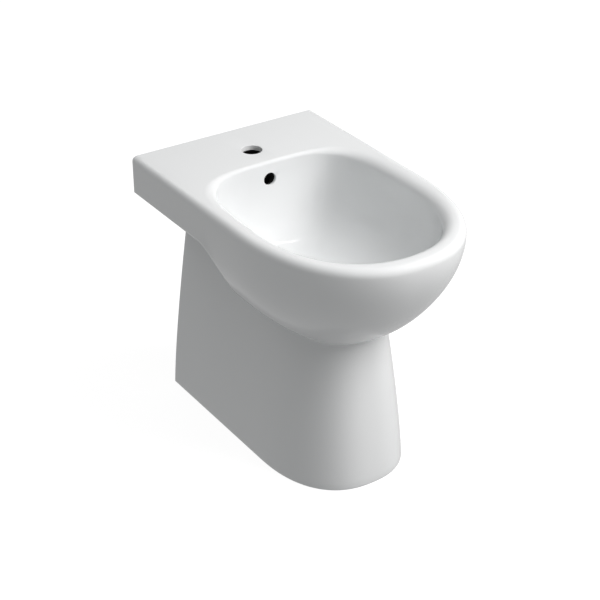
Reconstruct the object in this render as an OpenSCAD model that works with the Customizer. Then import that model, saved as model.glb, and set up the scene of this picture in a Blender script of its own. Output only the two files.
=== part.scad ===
// Floor standing bidet, back to wall: one slip-cast china body with a tap deck, an overflow and a
// hollow pedestal, its click waste, and the bottle trap that stands inside the pedestal.
// Frame: +Z up, front of the bowl towards -Y, the wall plane at y = depth / 2, floor at z = 0.
// Inside the shape functions u is the distance out from the wall plane.

/* [Overall] */
// Width of the deck and rim
width = 360; // [340:1:390]
// Depth from the wall to the front of the rim
depth = 555; // [545:1:580]
// Height of the rim above the floor
height = 464; // [455:1:490]
// Thickness of the china walls
wall = 9; // [7:0.5:10]

/* [Deck] */
// Depth of the deck's side apron
apron = 68; // [60:1:80]
// Radius of the apron's lower edge
apron_r = 7; // [4:0.5:9]
// Depth of the deck's underside where it meets the pedestal
belly = 145; // [135:1:155]
// Radius of the deck's upper edge
deck_edge_r = 6; // [3:0.5:8]
// Radius of the upright corners at the wall
corner_r = 3; // [2:0.5:6]
// Thickness of the china deck
deck_t = 11; // [10:0.5:14]

/* [Rim] */
// Distance from the wall at which the sides begin to curve round the front
rim_straight = 310; // [290:1:330]
// Squareness of the rim's front curve, 2 is an ellipse
rim_square = 2.23; // [2:0.01:2.4]
// Radius of the rim's outer upper edge along the bowl
rim_edge_r = 7; // [5:0.5:12]

/* [Bowl] */
// Width of the bowl's mouth
mouth_w = 286; // [270:1:292]
// Distance from the wall to the widest place of the mouth
mouth_mid = 333; // [315:1:345]
// Distance from the wall to the back of the mouth
mouth_back = 141; // [138:1:150]
// Distance from the wall to the front of the mouth
mouth_front = 517; // [505:1:521]
// Squareness of the mouth's front curve
mouth_front_square = 2.15; // [2:0.01:2.4]
// Squareness of the mouth's back corners
mouth_back_square = 4; // [3:0.1:4.6]
// Roll from the rim into the bowl, sides and front
mouth_roll = 17; // [12:0.5:18]
// Roll from the deck into the bowl
back_roll = 6; // [4:0.5:8]
// Depth of the bowl below the rim
bowl_depth = 155; // [142:1:156]

/* [Hull] */
// Depth of the hull below the rim at the sides
hull_depth = 180; // [177:1:195]
// Depth of the hull below the rim at the front
hull_front_depth = 195; // [186:1:205]
// Distance from the wall at which the deck's underside starts to swell into the hull
hull_start = 212; // [200:1:220]
// Distance from the wall at which the hull has its full depth
hull_full = 268; // [250:1:290]
// Radius of the cove where the hull meets the pedestal
cove = 11; // [8:0.5:14]

/* [Pedestal] */
// Width of the foot on the floor
foot_w = 237; // [225:1:250]
// Distance from the wall to the front of the foot
foot_front = 446; // [436:1:455]
// Width of the neck
neck_w = 158; // [153:1:170]
// Distance from the wall to the front of the neck
neck_front = 402; // [394:1:410]
// Height at which the pedestal is narrowest
neck_z = 330; // [315:1:345]
// Length of the straight sides from the wall
side_straight = 284; // [270:1:295]
// Squareness of the pedestal's front
foot_square = 2.4; // [2.1:0.05:2.8]
// How late the foot flares, 1 is a straight taper
flare = 1.3; // [1.1:0.05:1.6]
// Radius of the foot's lower edge
foot_edge_r = 3; // [1:0.5:5]
// Width of the ground face that stands on the floor
foot_land = 14; // [12:0.5:18]

/* [Tap hole and overflow] */
// Diameter of the tap hole
tap_hole_d = 35; // [32:0.5:37]
// Distance from the wall to the tap hole's centre
tap_u = 86; // [80:1:90]
// Diameter of the overflow hole
overflow_d = 22; // [18:0.5:24]
// Depth of the overflow hole's centre below the rim
overflow_drop = 32; // [30:1:38]
// Bore of the cast overflow way
duct_d = 18; // [14:0.5:19]

/* [Waste] */
// Distance from the wall to the waste hole's centre
waste_u = 250; // [235:1:256]
// Diameter of the waste hole in the china
waste_hole_d = 46; // [45:0.5:48]
// Length of the waste hole
waste_hole_len = 45; // [42:1:48]
// Outer diameter of the threaded waste tube
tube_d = 41.9; // [41:0.1:42.5]
// Wall of the waste tube
tube_wall = 2; // [1.5:0.1:2.5]
// Length of the waste tube below its flange
tube_len = 88; // [84:1:94]
// Diameter of the waste flange
flange_d = 64; // [62:0.5:66]
// Thickness of the waste flange
flange_t = 3; // [2.5:0.1:3.5]
// Thickness of the flange gasket
gasket_t = 1.5; // [1:0.1:2]
// Diameter of the plug cap
cap_d = 61; // [58:0.5:62]
// Thickness of the plug cap at its edge
cap_t = 2.2; // [1.8:0.1:2.6]
// Rise of the plug cap's crown
cap_crown = 2.5; // [1:0.1:4]
// Travel of the plug
plug_travel = 10; // [8:0.5:11]
// Across flats of the back nut
nut_af = 54; // [52:0.5:58]
// Thickness of the back nut
nut_t = 10; // [8:0.5:12]

/* [Click mechanism] */
// Outer diameter of the cartridge
cartridge_d = 16; // [15:0.5:18]
// Wall of the cartridge
cartridge_wall = 1.6; // [1.2:0.1:2]
// Length of the cartridge below the waste's bridge
cartridge_len = 34; // [32:1:38]
// Diameter of the plunger rod
rod_d = 6; // [5:0.1:6.5]
// Wire diameter of the spring
wire_d = 1; // [0.8:0.1:1.2]
// Working turns of the spring
spring_turns = 5; // [3:1:6]

/* [Trap] */
// Share of the free height between the floor and the waste's coupling that is left under the trap
trap_share = 0.5; // [0.4:0.01:0.6]
// Outer diameter of the pipes
pipe_d = 32; // [30:0.5:34]
// Wall of the pipes
pipe_wall = 1.6; // [1.2:0.1:2]
// Outer diameter of the trap's bottle
bottle_d = 60; // [56:1:64]
// Wall of the trap's mouldings
trap_wall = 2.6; // [2:0.1:3]
// Depth of the water seal
water_seal = 52; // [50:1:56]

/* [Fits] */
// Gap between threads and other fixed fits
fit = 0.1; // [0.05:0.01:0.2]
// Running gap round the sliding pieces
slide_gap = 0.08; // [0.05:0.01:0.1]
// Gap between a moving piece and its stop
stop_gap = 0.3; // [0.2:0.05:0.4]

/* [Smoothness] */
// Stations along half of the wall side
back_steps = 3; // [2:1:4]
// Stations along each straight side
side_steps = 17; // [15:1:19]
// Stations round half of the front
front_steps = 15; // [13:1:17]
// Rings down the bowl and the hull
profile_steps = 11; // [9:1:12]

/* [Hidden] */
$fn = 64;

china = "white";
chrome = "silver";
brass = "goldenrod";
rubber = "dimgray";
plastic = "whitesmoke";
steel = "lightgray";

behind = 40;          // the china is shaped this far past the wall plane, then cut off flat
eps = 0.5;            // how far a cutter passes a face
side_k = [0.69, 0.28]; // handles of the hull's profile at the sides: at the rim, at the pedestal
front_k = [0.43, 0.22];
hull_slope = 8;       // slope of the hull's underside where it ends, degrees
// The bowl's profile towards the wall, the side and the front: the fall of its first handle, then
// the reach and the fall of its second, as shares of its width and depth.
bowl_back_k = [0.72, 0.72, 0.96];
bowl_side_k = [0.62, 0.62, 0.945];
bowl_front_k = [0.55, 0.5, 0.92];
roll_steps = 3;
cove_steps = 3;
pedestal_steps = 5;
back_arc = 30;        // part of the mouth's quarter turn that faces the wall side, degrees
land_rise = 25;       // height over which the foot's ground face thins to the wall
back_share = 0.8;     // how far down the apron its rings meet the middle, behind the wall
rail_drop = 84;       // depth of the rail that stiffens the deck along the wall
rail_half_w = 141;    // half the width of the rail's lower edge

// ---------------------------------------------------------------- levels and places
function at(u) = depth / 2 - u;
waste_y = at(waste_u);
floor_z = height - bowl_depth;
recess_z = floor_z - 2.5;
recess_depth = 12;     // past the bowl's surface all round
boss_z = recess_z - waste_hole_len;
flange_z = recess_z + gasket_t;
flange_top = flange_z + flange_t;
tail_z = flange_z - tube_len;
tube_r = tube_d / 2;
tube_bore = tube_r - tube_wall;
boss_r = waste_hole_d / 2 + 13;
duct_r = duct_d / 2;
duct_shell = duct_r + 5;
duct_u = mouth_back - wall - duct_r + 1;
duct_fall = 6;        // slope of its forward part, degrees
duct_end = 3;          // how far its shell runs on beyond the edge of the waste hole
duct_run = waste_u - waste_hole_d / 2 - duct_u + duct_shell / 2 + duct_end;
duct_low = boss_z + eps + duct_run * sin(duct_fall) + (duct_shell - 1) * cos(duct_fall);

seat_depth = 1.8;                     // recess of the flange that takes the plug's seal
seat_r = cap_d / 2 - 4;
plug_low = flange_top + stop_gap;     // underside of the cap with the plug down
bridge_z = flange_z - 22;             // top of the waste's bridge
bridge_t = 5;
bridge_w = 5;
thread_d = 10;                        // the cartridge's neck in the bridge
cartridge_r = cartridge_d / 2;
cartridge_bore = cartridge_r - cartridge_wall;
cartridge_top = bridge_z - bridge_t;
cartridge_low = cartridge_top - cartridge_len;
cartridge_floor = cartridge_low + 2;
head_t = 5;
head_top = cartridge_top - 3 - plug_travel - stop_gap;
head_low = head_top - head_t;
stud_r = rod_d / 2 - 1;
cap_boss_r = rod_d / 2 + 3;
cap_boss_h = 7;
cap_edge = 0.6;
spring_r = cartridge_bore - wire_d / 2 - 0.3;

cone_t = 8;
washer_t = 2;
washer_r = nut_af / 2 + 4;

seal_t = 3;
collar_t = 2;
lip_t = 3;
nut_wall = 4.5;
nut_grip = 12;                        // length of thread that a squeeze nut takes up
squeeze_h = 5;
inlet_seal_z = tail_z - seal_t;
collar_z = inlet_seal_z - collar_t;
inlet_nut_z = collar_z - lip_t;
inlet_nut_h = 20;

pipe_r = pipe_d / 2;
pipe_bore = pipe_r - pipe_wall;
bottle_r = bottle_d / 2;
bottle_bore = bottle_r - trap_wall;
socket_wall = 4.8;
socket_r = pipe_r + socket_wall;      // outside of the trap's threaded sockets
shoulder = 10;                        // from the outlet socket up to the top of the bottle
socket_h = nut_grip + 1;              // of the sockets that take squeeze nuts
dip_room = 18;                        // between the dip tube's end and the floor of the cup
trap_h = trap_wall + dip_room + water_seal + pipe_bore + socket_r + shoulder + socket_h
    + squeeze_h + lip_t;
cup_z = trap_share * (inlet_nut_z - trap_h);
dip_z = cup_z + trap_wall + dip_room;
outlet_z = dip_z + water_seal + pipe_bore;
bottle_top = outlet_z + socket_r + shoulder;
socket_top = bottle_top + socket_h;
cup_rim_z = outlet_z - socket_r - 6;
thread_len = 16;
bottle_low = cup_rim_z - thread_len - 3;
cup_r = bottle_r + fit + trap_wall;
outlet_face = waste_y + bottle_r + 20;
pipe_in = 16;                         // how far the outlet pipe enters its socket
bead_w = 3;                           // of the bead that stops the outlet pipe at its nut
bead_h = 1.5;

// ---------------------------------------------------------------- shape functions of the china
function mix(a, b, t) = a + (b - a) * t;
function clip(t) = max(0, min(1, t));
function ease(a, b, v) = let (t = clip((v - a) / (b - a))) t * t * (3 - 2 * t);

// A station is [kind, share]: kind 0 runs along the wall side, 1 along a side, 2 round the front.
function half_stations() = concat(
    [for (i = [0 : back_steps - 1]) [0, i / back_steps]],
    [for (i = [0 : side_steps - 1]) [1, i / side_steps]],
    [for (i = [0 : front_steps]) [2, i / front_steps]]);
stations = half_stations();
half = len(stations);

// Plan of a D: straight sides, then a superellipse round the front. Gives [x, u] on the left.
function d_plan(s, hw, straight, front, square, back) =
    s[0] == 0 ? [-hw * s[1], -back]
  : s[0] == 1 ? [-hw, mix(-back, straight, s[1])]
  : [-hw * pow(cos(90 * s[1]), 2 / square),
     straight + (front - straight) * pow(sin(90 * s[1]), 2 / square)];

// Plan of the mouth: a square-cornered half towards the wall and a round half to the front.
// grow moves it outwards at the sides and front, grow_back towards the wall.
function mouth_plan(s, grow, grow_back) =
    let (hw = mouth_w / 2 + grow,
         turn = s[0] == 0 ? 90 - back_arc * pow(s[1], 2) : (90 - back_arc) * pow(1 - s[1], 2),
         k = 2 / mouth_back_square)
    s[0] < 2
    ? [-hw * pow(cos(turn), k), mouth_mid - (mouth_mid - mouth_back + grow_back) * pow(sin(turn), k)]
    : [-hw * pow(cos(90 * s[1]), 2 / mouth_front_square),
       mouth_mid + (mouth_front + grow - mouth_mid) * pow(sin(90 * s[1]), 2 / mouth_front_square)];

// Plan of the pedestal at height z, moved in by inset.
function pedestal_plan(s, z, inset) =
    let (k = pow(clip(z / neck_z), flare))
    d_plan(s, mix(foot_w, neck_w, k) / 2 - inset, side_straight,
           mix(foot_front, neck_front, k) - inset, foot_square, behind - inset);

function rim_plan(s, inset) =
    d_plan(s, width / 2 - inset, rim_straight, depth - inset, rim_square, behind - inset);

function bezier(a, b, c, d, t) =
    pow(1 - t, 3) * a + 3 * t * pow(1 - t, 2) * b + 3 * t * t * (1 - t) * c + pow(t, 3) * d;

// The apron's profile: straight down, a round corner, then in and down to the pedestal under the
// deck. Gives [reach, drop].
function apron_profile(t, reach, top, drop, low, inner, r) =
    t < 0.3 ? [reach, mix(top, drop - r, t / 0.3)]
  : t < 0.5 ? let (a = 90 * (t - 0.3) / 0.2) [reach - r * (1 - cos(a)), drop - r * (1 - sin(a))]
  : [mix(reach - r, inner, 2 * t - 1), mix(drop, low, ease(0.5, 1, t))];

// The hull's profile: a cubic curve from the rim's side in to the top of the cove.
function hull_profile(t, reach, top, drop, inner, k) =
    let (h = k[1] * (reach - inner))
    [bezier(reach, reach, inner + h, inner, t),
     bezier(top, mix(top, drop, k[0]), drop - h * tan(hull_slope), drop, t)];

// Behind the wall a ring runs straight from the corner in to the middle, a share f of the way out.
function back_point(corner, f, middle_z) = [corner[0] * f, corner[1], mix(middle_z, corner[2], f)];
corner = [1, 0];

// Everything that a station needs for the outer side, moved in by inset.
function hull_data(s, inset) =
    let (rim = rim_plan(s, inset),
         front = ease(rim_straight, depth, rim[1]),
         hull = ease(hull_start, hull_full, rim[1]),
         drop = mix(belly, mix(hull_depth, hull_front_depth, front), hull) - inset,
         bend = cove + inset,
         neck = pedestal_plan(s, height - drop - bend, inset),
         reach = norm(rim - neck))
    [rim, neck, (rim - neck) / reach, reach, drop, bend, hull, front];

// One point of the outer side: t from 0 at the rim to 1 at the top of the cove.
function side_point(s, t, inset, top) =
    s[0] == 0
    ? back_point(side_point(corner, t, inset, top), s[1], height - mix(top, back_share * apron, t))
    : let (h = hull_data(s, inset),
         a = apron_profile(t, h[3], top, apron - inset, belly - inset, h[5],
                           apron_r - min(inset, apron_r - 1)),
         b = hull_profile(t, h[3], top, mix(hull_depth, hull_front_depth, h[7]) - inset, h[5],
                          mix(side_k, front_k, h[7])),
         p = mix(a, b, h[6]),
         plan = h[1] + h[2] * p[0])
    [plan[0], plan[1], height - p[1]];

// One point of the cove: t from 0 at the hull to 1 at the pedestal.
function cove_point(s, t, inset) =
    s[0] == 0
    ? let (p = cove_point(corner, t, inset)) back_point(p, s[1], mix(height - back_share * apron, p[2], t))
    : let (h = hull_data(s, inset),
         fall = h[5] * tan(hull_slope) * h[6],
         plan = h[1] + h[2] * h[5] * pow(1 - t, 2))
    [plan[0], plan[1], height - h[4] - 2 * t * (1 - t) * fall - t * t * h[5]];

// One point of the pedestal: t from 0 under the cove to 1 at height low.
function pedestal_point(s, t, inset, low) =
    let (h = hull_data(s[0] == 0 ? corner : s, inset),
         z = mix(height - h[4] - h[5], low, t),
         plan = pedestal_plan(s, z, inset))
    [plan[0], plan[1], z];

// Radius of the rim's upper outer edge at a station: the deck's, then the bowl's.
function edge_r(s) = mix(deck_edge_r, rim_edge_r, ease(mouth_back, hull_full, rim_plan(s, 0)[1]));

function edge_point(s, a) =
    let (r = edge_r(s), plan = rim_plan(s, r * (1 - cos(a))))
    [plan[0], plan[1], height - r * (1 - sin(a))];

// How much of a station looks sideways, for the roll that grows from the deck to the sides.
function sideways(s) =
    s[0] == 2 ? 1 : pow(mouth_plan(s, 0, 0)[0] / (mouth_w / 2), 4);

function roll_point(s, a) =
    let (drop = mix(back_roll, mouth_roll, sideways(s)),
         plan = mouth_plan(s, mouth_roll * (1 - cos(a)), back_roll * (1 - cos(a))))
    [plan[0], plan[1], height - drop * (1 - sin(a))];

function bowl_handles(turn) =
    turn < 90 ? mix(bowl_back_k, bowl_side_k, ease(0, 90, turn))
  : mix(bowl_side_k, bowl_front_k, ease(90, 180, turn));

// One point of the bowl: t from 0 under the roll to 1 beside the waste. inset thickens it below.
function bowl_point(s, t, inset, top) =
    let (mouth = mouth_plan(s, inset, inset),
         centre = [0, waste_u],
         reach = norm(mouth - centre),
         way = (mouth - centre) / reach,
         k = bowl_handles(atan2(abs(way[0]), -way[1])),
         low = bowl_depth + inset,
         r = bezier(reach, reach, k[1] * reach, 0, t),
         z = bezier(top, mix(top, low, k[0]), mix(top, low, k[2]), low, t))
    [way[0] * r, waste_u + way[1] * r, height - z];

// A whole ring from its left half.
function ring(points) = concat(points,
    [for (i = [half - 2 : -1 : 1]) [-points[i][0], points[i][1], points[i][2]]]);
function placed(p) = [p[0], at(p[1]), p[2]];

bowl_rings = [for (j = [profile_steps - 1 : -1 : 0])
    ring([for (s = stations) bowl_point(s, j / profile_steps, 0,
        mix(back_roll, mouth_roll, sideways(s)))])];
roll_rings = [for (j = [1 : roll_steps])
    ring([for (s = stations) roll_point(s, 90 * j / roll_steps)])];
edge_rings = [for (j = [roll_steps : -1 : 0])
    ring([for (s = stations) edge_point(s, 90 * j / roll_steps)])];
hull_rings = [for (j = [1 : profile_steps])
    ring([for (s = stations) side_point(s, j / profile_steps, 0, edge_r(s))])];
cove_rings = [for (j = [1 : cove_steps]) ring([for (s = stations) cove_point(s, j / cove_steps, 0)])];
foot_rings = [for (j = [1 : pedestal_steps])
    ring([for (s = stations) pedestal_point(s, j / pedestal_steps, 0, foot_edge_r)])];
land_rings = [
    ring([for (s = stations) concat(pedestal_plan(s, 0, foot_edge_r), [0])]),
    ring([for (s = stations) concat(pedestal_plan(s, 0, foot_land), [0])])];
inner_foot = [for (j = [pedestal_steps : -1 : 1])
    ring([for (s = stations) pedestal_point(s, j / pedestal_steps, wall, land_rise)])];
inner_cove = [for (j = [cove_steps : -1 : 1])
    ring([for (s = stations) cove_point(s, j / cove_steps, wall)])];
inner_hull = [for (j = [profile_steps : -1 : 0])
    ring([for (s = stations) side_point(s, j / profile_steps, wall, deck_t)])];
under_bowl = [for (j = [0 : profile_steps - 1])
    ring([for (s = stations) bowl_point(s, j / profile_steps, wall, deck_t)])];

module china_skin() {
    rings = concat(bowl_rings, roll_rings, edge_rings, hull_rings, cove_rings, foot_rings,
                   land_rings, inner_foot, inner_cove, inner_hull, under_bowl);
    n = 2 * half - 2;
    last = len(rings) - 1;
    first_pole = n * len(rings);
    points = concat([for (r = rings, p = r) placed(p)],
        [[0, waste_y, floor_z], [0, waste_y, floor_z - wall]]);
    sides = [for (r = [0 : last - 1], i = [0 : n - 1])
        let (a = r * n + i, b = r * n + (i + 1) % n, c = b + n, d = a + n)
        each [[a, b, d], [b, c, d]]];
    top = [for (i = [0 : n - 1]) [first_pole, (i + 1) % n, i]];
    bottom = [for (i = [0 : n - 1]) [first_pole + 1, last * n + i, last * n + (i + 1) % n]];
    polyhedron(points, concat(sides, top, bottom), convexity = 12);
}

// ---------------------------------------------------------------- the china
// The overflow way: down behind the bowl, then forward to the waste hole. The forward part is a
// little narrower, and past_hole is how far it runs on beyond the edge of the hole.
module overflow_way(r, top_z, past_hole) {
    forward_r = r - 1;
    translate([0, at(duct_u), duct_low - r]) cylinder(r = r, h = top_z - duct_low + r);
    translate([0, at(duct_u) + r / 2, duct_low]) rotate([90 + duct_fall, 0, 0])
        cylinder(r = forward_r, h = waste_u - waste_hole_d / 2 - duct_u + r / 2 + past_hole);
}

module ceramic_body() {
    color(china) difference() {
        union() {
            china_skin();
            translate([0, waste_y, boss_z]) cylinder(r = boss_r, h = floor_z - boss_z - 2);
            overflow_way(duct_shell, height - deck_t + 1, duct_end);
            wall_rail();
        }
        translate([-width, depth / 2, -eps]) cube([2 * width, behind + eps, height + 2 * eps]);
        for (side = [-1, 1]) corner_cutter(side);
        translate([0, at(tap_u), height - deck_t - eps]) cylinder(d = tap_hole_d, h = deck_t + 2 * eps);
        translate([0, waste_y, boss_z - eps]) cylinder(d = waste_hole_d, h = waste_hole_len + 2 * eps);
        translate([0, waste_y, recess_z]) cylinder(r = flange_d / 2 + 1, h = recess_depth);
        overflow_way(duct_r, height - overflow_drop, waste_hole_d / 2 - tube_r);
        translate([0, at(mouth_back + 12), height - overflow_drop]) rotate([-90, 0, 0])
            cylinder(d = overflow_d, h = mouth_back + 12 - duct_u);
    }
}

// The turned-down rail under the deck's wall side. Its ends lie inside the apron's walls.
module wall_rail() {
    end_x = (width - wall) / 2;
    end_z = height - apron + apron_r + 1;
    translate([0, depth / 2, 0]) rotate([90, 0, 0]) linear_extrude(wall) polygon([
        [-end_x, height - deck_t + 1], [-end_x, end_z], [-rail_half_w, height - rail_drop],
        [rail_half_w, height - rail_drop], [end_x, end_z], [end_x, height - deck_t + 1]]);
}

// Rounds one upright corner of the deck at the wall.
module corner_cutter(side) {
    translate([side * (width / 2 - corner_r), depth / 2 - corner_r, height - apron - eps])
        difference() {
            translate([side > 0 ? 0 : -2 * corner_r, 0, 0])
                cube([2 * corner_r, 2 * corner_r, apron + 2 * eps]);
            translate([0, 0, -eps]) cylinder(r = corner_r, h = apron + 4 * eps);
        }
}

// ---------------------------------------------------------------- waste
module ring_part(outer, inner, h) {
    difference() {
        cylinder(r = outer, h = h);
        translate([0, 0, -eps]) cylinder(r = inner, h = h + 2 * eps);
    }
}

module flange_gasket() {
    color(rubber) translate([0, waste_y, recess_z])
        ring_part(flange_d / 2 - 1.5, tube_r + fit, gasket_t);
}

module waste_body() {
    color(chrome) translate([0, waste_y, 0]) difference() {
        union() {
            rotate_extrude() polygon([
                [tube_bore, tail_z], [tube_r, tail_z], [tube_r, flange_z], [flange_d / 2, flange_z],
                [flange_d / 2, flange_z + flange_t / 2], [flange_d / 2 - 1.5, flange_top],
                [seat_r, flange_top], [seat_r - 1, flange_top - seat_depth],
                [tube_bore + 1.5, flange_top - seat_depth], [tube_bore, flange_top - seat_depth - 1.5]]);
            translate([0, 0, bridge_z - bridge_t]) {
                for (turn = [0, 60, 120]) rotate([0, 0, turn])
                    translate([-tube_bore - tube_wall / 2, -bridge_w / 2, 0])
                        cube([2 * tube_bore + tube_wall, bridge_w, bridge_t]);
                cylinder(r = thread_d / 2 + 2.5, h = bridge_t);
            }
        }
        translate([0, 0, bridge_z - bridge_t - eps]) cylinder(d = thread_d, h = bridge_t + 2 * eps);
        overflow_slots();
    }
}

// Windows through the tube at the level where the overflow way enters the waste hole.
module overflow_slots() {
    slot_w = 14;
    slot_h = 12;
    for (turn = [0, 90]) rotate([0, 0, turn])
        translate([-tube_d, -slot_w / 2, boss_z + 6]) cube([2 * tube_d, slot_w, slot_h]);
}

module click_cartridge() {
    color(brass) translate([0, waste_y, 0]) difference() {
        union() {
            translate([0, 0, cartridge_low]) cylinder(r = cartridge_r, h = cartridge_len);
            translate([0, 0, cartridge_top - eps])
                cylinder(r = thread_d / 2 - fit, h = bridge_t + eps);
        }
        translate([0, 0, cartridge_floor])
            cylinder(r = cartridge_bore, h = cartridge_top - 3 - cartridge_floor);
        translate([0, 0, cartridge_floor])
            cylinder(r = rod_d / 2 + slide_gap, h = bridge_z - cartridge_floor + eps);
    }
}

module click_plunger() {
    color(steel) translate([0, waste_y, 0]) {
        translate([0, 0, head_low]) cylinder(r = cartridge_bore - slide_gap, h = head_t);
        translate([0, 0, head_low]) cylinder(d = rod_d, h = plug_low - cap_boss_h - head_low);
        translate([0, 0, head_low]) cylinder(r = stud_r, h = plug_low - 1 - head_low);
    }
}

// A round wire wound up a helix, ending on the cartridge's floor and under the plunger's head.
module click_spring() {
    sides = 8;
    per_turn = 14;
    low = cartridge_floor + wire_d / 2 + 0.05;
    rise = head_low - wire_d / 2 - 0.05 - low;
    count = spring_turns * per_turn;
    points = [for (i = [0 : count], k = [0 : sides - 1])
        let (turn = 360 * i / per_turn, a = 360 * k / sides, r = spring_r + wire_d / 2 * cos(a))
        [r * cos(turn), r * sin(turn), low + rise * i / count + wire_d / 2 * sin(a)]];
    skin = [for (i = [0 : count - 1], k = [0 : sides - 1])
        let (a = i * sides + k, b = i * sides + (k + 1) % sides)
        each [[a, a + sides, b], [b, a + sides, b + sides]]];
    ends = [[for (k = [0 : sides - 1]) k], [for (k = [sides - 1 : -1 : 0]) count * sides + k]];
    color(steel) translate([0, waste_y, 0]) polyhedron(points, concat(skin, ends));
}

module plug_cap() {
    r = cap_d / 2;
    dome_r = (r * r + cap_crown * cap_crown) / (2 * cap_crown);
    dome_arc = asin(r / dome_r);
    dome_steps = 8;
    dome = [for (i = [0 : dome_steps - 1]) let (a = dome_arc * (1 - i / dome_steps))
        [dome_r * sin(a), cap_t + cap_crown - dome_r * (1 - cos(a))]];
    color(chrome) translate([0, waste_y, plug_low]) difference() {
        union() {
            rotate_extrude() polygon(concat([[0, 0], [r - cap_edge, 0], [r, cap_edge]], dome,
                [[0, cap_t + cap_crown]]));
            translate([0, 0, -cap_boss_h]) cylinder(r = cap_boss_r, h = cap_boss_h + 1);
        }
        translate([0, 0, -cap_boss_h - eps]) cylinder(r = stud_r + fit, h = cap_boss_h + eps);
    }
}

module plug_seal() {
    seal_in = tube_bore + 1.5;
    color(rubber) translate([0, waste_y, plug_low - seat_depth])
        ring_part(seat_r - 1.5, seal_in + 0.5, seat_depth);
}

module cone_gasket() {
    color(rubber) translate([0, waste_y, boss_z]) difference() {
        translate([0, 0, -cone_t]) cylinder(r1 = washer_r - 1, r2 = waste_hole_d / 2 + 5, h = cone_t);
        translate([0, 0, -cone_t - eps]) cylinder(r = tube_r + fit, h = cone_t + 2 * eps);
    }
}

module slip_washer() {
    color(plastic) translate([0, waste_y, boss_z - cone_t - washer_t])
        ring_part(washer_r, tube_r + fit, washer_t);
}

module back_nut() {
    color(brass) translate([0, waste_y, boss_z - cone_t - washer_t - nut_t]) difference() {
        cylinder(r = nut_af / 2 / cos(30), h = nut_t, $fn = 6);
        translate([0, 0, -eps]) cylinder(r = tube_r + fit, h = nut_t + 2 * eps);
    }
}

// ---------------------------------------------------------------- trap
// A coupling nut with grip ribs: a lip with a small hole, then the threaded bore.
module coupling_nut(thread_r, hole_r, h) {
    outer = thread_r + nut_wall;
    ribs = 12;
    difference() {
        union() {
            cylinder(r = outer, h = h);
            for (i = [0 : ribs - 1]) rotate([0, 0, 360 * i / ribs])
                translate([outer - 1, -2, 1]) cube([2.5, 4, h - 2]);
        }
        translate([0, 0, -eps]) cylinder(r = hole_r, h = lip_t + 2 * eps);
        translate([0, 0, lip_t]) cylinder(r = thread_r, h = h);
    }
}

module inlet_seal() {
    color(rubber) translate([0, waste_y, inlet_seal_z]) ring_part(tube_r - 0.5, pipe_bore, seal_t);
}

module inlet_nut() {
    color(plastic) translate([0, waste_y, inlet_nut_z])
        coupling_nut(tube_r + fit, pipe_r + fit, inlet_nut_h);
}

module inlet_tube() {
    color(plastic) translate([0, waste_y, 0]) difference() {
        union() {
            translate([0, 0, dip_z]) cylinder(r = pipe_r, h = inlet_seal_z - dip_z);
            translate([0, 0, collar_z]) cylinder(r = tube_r - 0.5, h = collar_t);
        }
        translate([0, 0, dip_z - eps]) cylinder(r = pipe_bore, h = inlet_seal_z - dip_z + 2 * eps);
    }
}

module squeeze_ring() {
    ring_part(socket_r - 1.2, pipe_r + fit, squeeze_h);
}

// A nut that squeezes a ring against the mouth of a socket, drawn with the ring's seat at z = 0.
module squeeze_nut() {
    nut_h = squeeze_h + nut_grip + lip_t;
    translate([0, 0, squeeze_h + lip_t]) mirror([0, 0, 1])
        coupling_nut(socket_r + fit, pipe_r + fit, nut_h);
}

module tube_seal() {
    color(rubber) translate([0, waste_y, socket_top]) squeeze_ring();
}

module tube_nut() {
    color(plastic) translate([0, waste_y, socket_top]) squeeze_nut();
}

module trap_body() {
    socket_bore = pipe_r + fit;
    color(plastic) difference() {
        union() {
            translate([0, waste_y, bottle_low]) cylinder(r = bottle_r, h = bottle_top - bottle_low);
            translate([0, waste_y, bottle_low]) cylinder(r = socket_r, h = socket_top - bottle_low);
            translate([0, waste_y, outlet_z]) rotate([-90, 0, 0])
                cylinder(r = socket_r, h = outlet_face - waste_y);
        }
        translate([0, waste_y, bottle_low - eps])
            cylinder(r = bottle_bore, h = bottle_top - trap_wall - bottle_low + eps);
        translate([0, waste_y, bottle_low]) cylinder(r = socket_bore, h = socket_top - bottle_low + eps);
        translate([0, waste_y, outlet_z]) rotate([-90, 0, 0])
            cylinder(r = pipe_bore, h = outlet_face - waste_y + eps);
        translate([0, outlet_face - pipe_in - eps, outlet_z]) rotate([-90, 0, 0])
            cylinder(r = socket_bore, h = pipe_in + 2 * eps);
    }
}

module cup_seal() {
    color(rubber) translate([0, waste_y, bottle_low - seal_t])
        ring_part(bottle_r - 0.2, bottle_bore, seal_t);
}

module trap_cup() {
    ledge = bottle_low - seal_t;
    ribs = 10;
    color(plastic) translate([0, waste_y, 0]) difference() {
        union() {
            translate([0, 0, cup_z]) cylinder(r = bottle_r, h = ledge - cup_z);
            translate([0, 0, ledge - 3]) cylinder(r = cup_r, h = thread_len + 6);
            for (i = [0 : ribs - 1]) rotate([0, 0, 360 * i / ribs])
                translate([bottle_r - 1, -2, cup_z + 2]) cube([trap_wall + fit + 1, 4, ledge - cup_z]);
        }
        translate([0, 0, cup_z + trap_wall]) cylinder(r = bottle_bore, h = ledge - cup_z);
        translate([0, 0, ledge]) cylinder(r = bottle_r + fit, h = thread_len + 6);
    }
}

module outlet_seal() {
    color(rubber) translate([0, outlet_face, outlet_z]) rotate([-90, 0, 0]) squeeze_ring();
}

module outlet_nut() {
    color(plastic) translate([0, outlet_face, outlet_z]) rotate([-90, 0, 0]) squeeze_nut();
}

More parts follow.
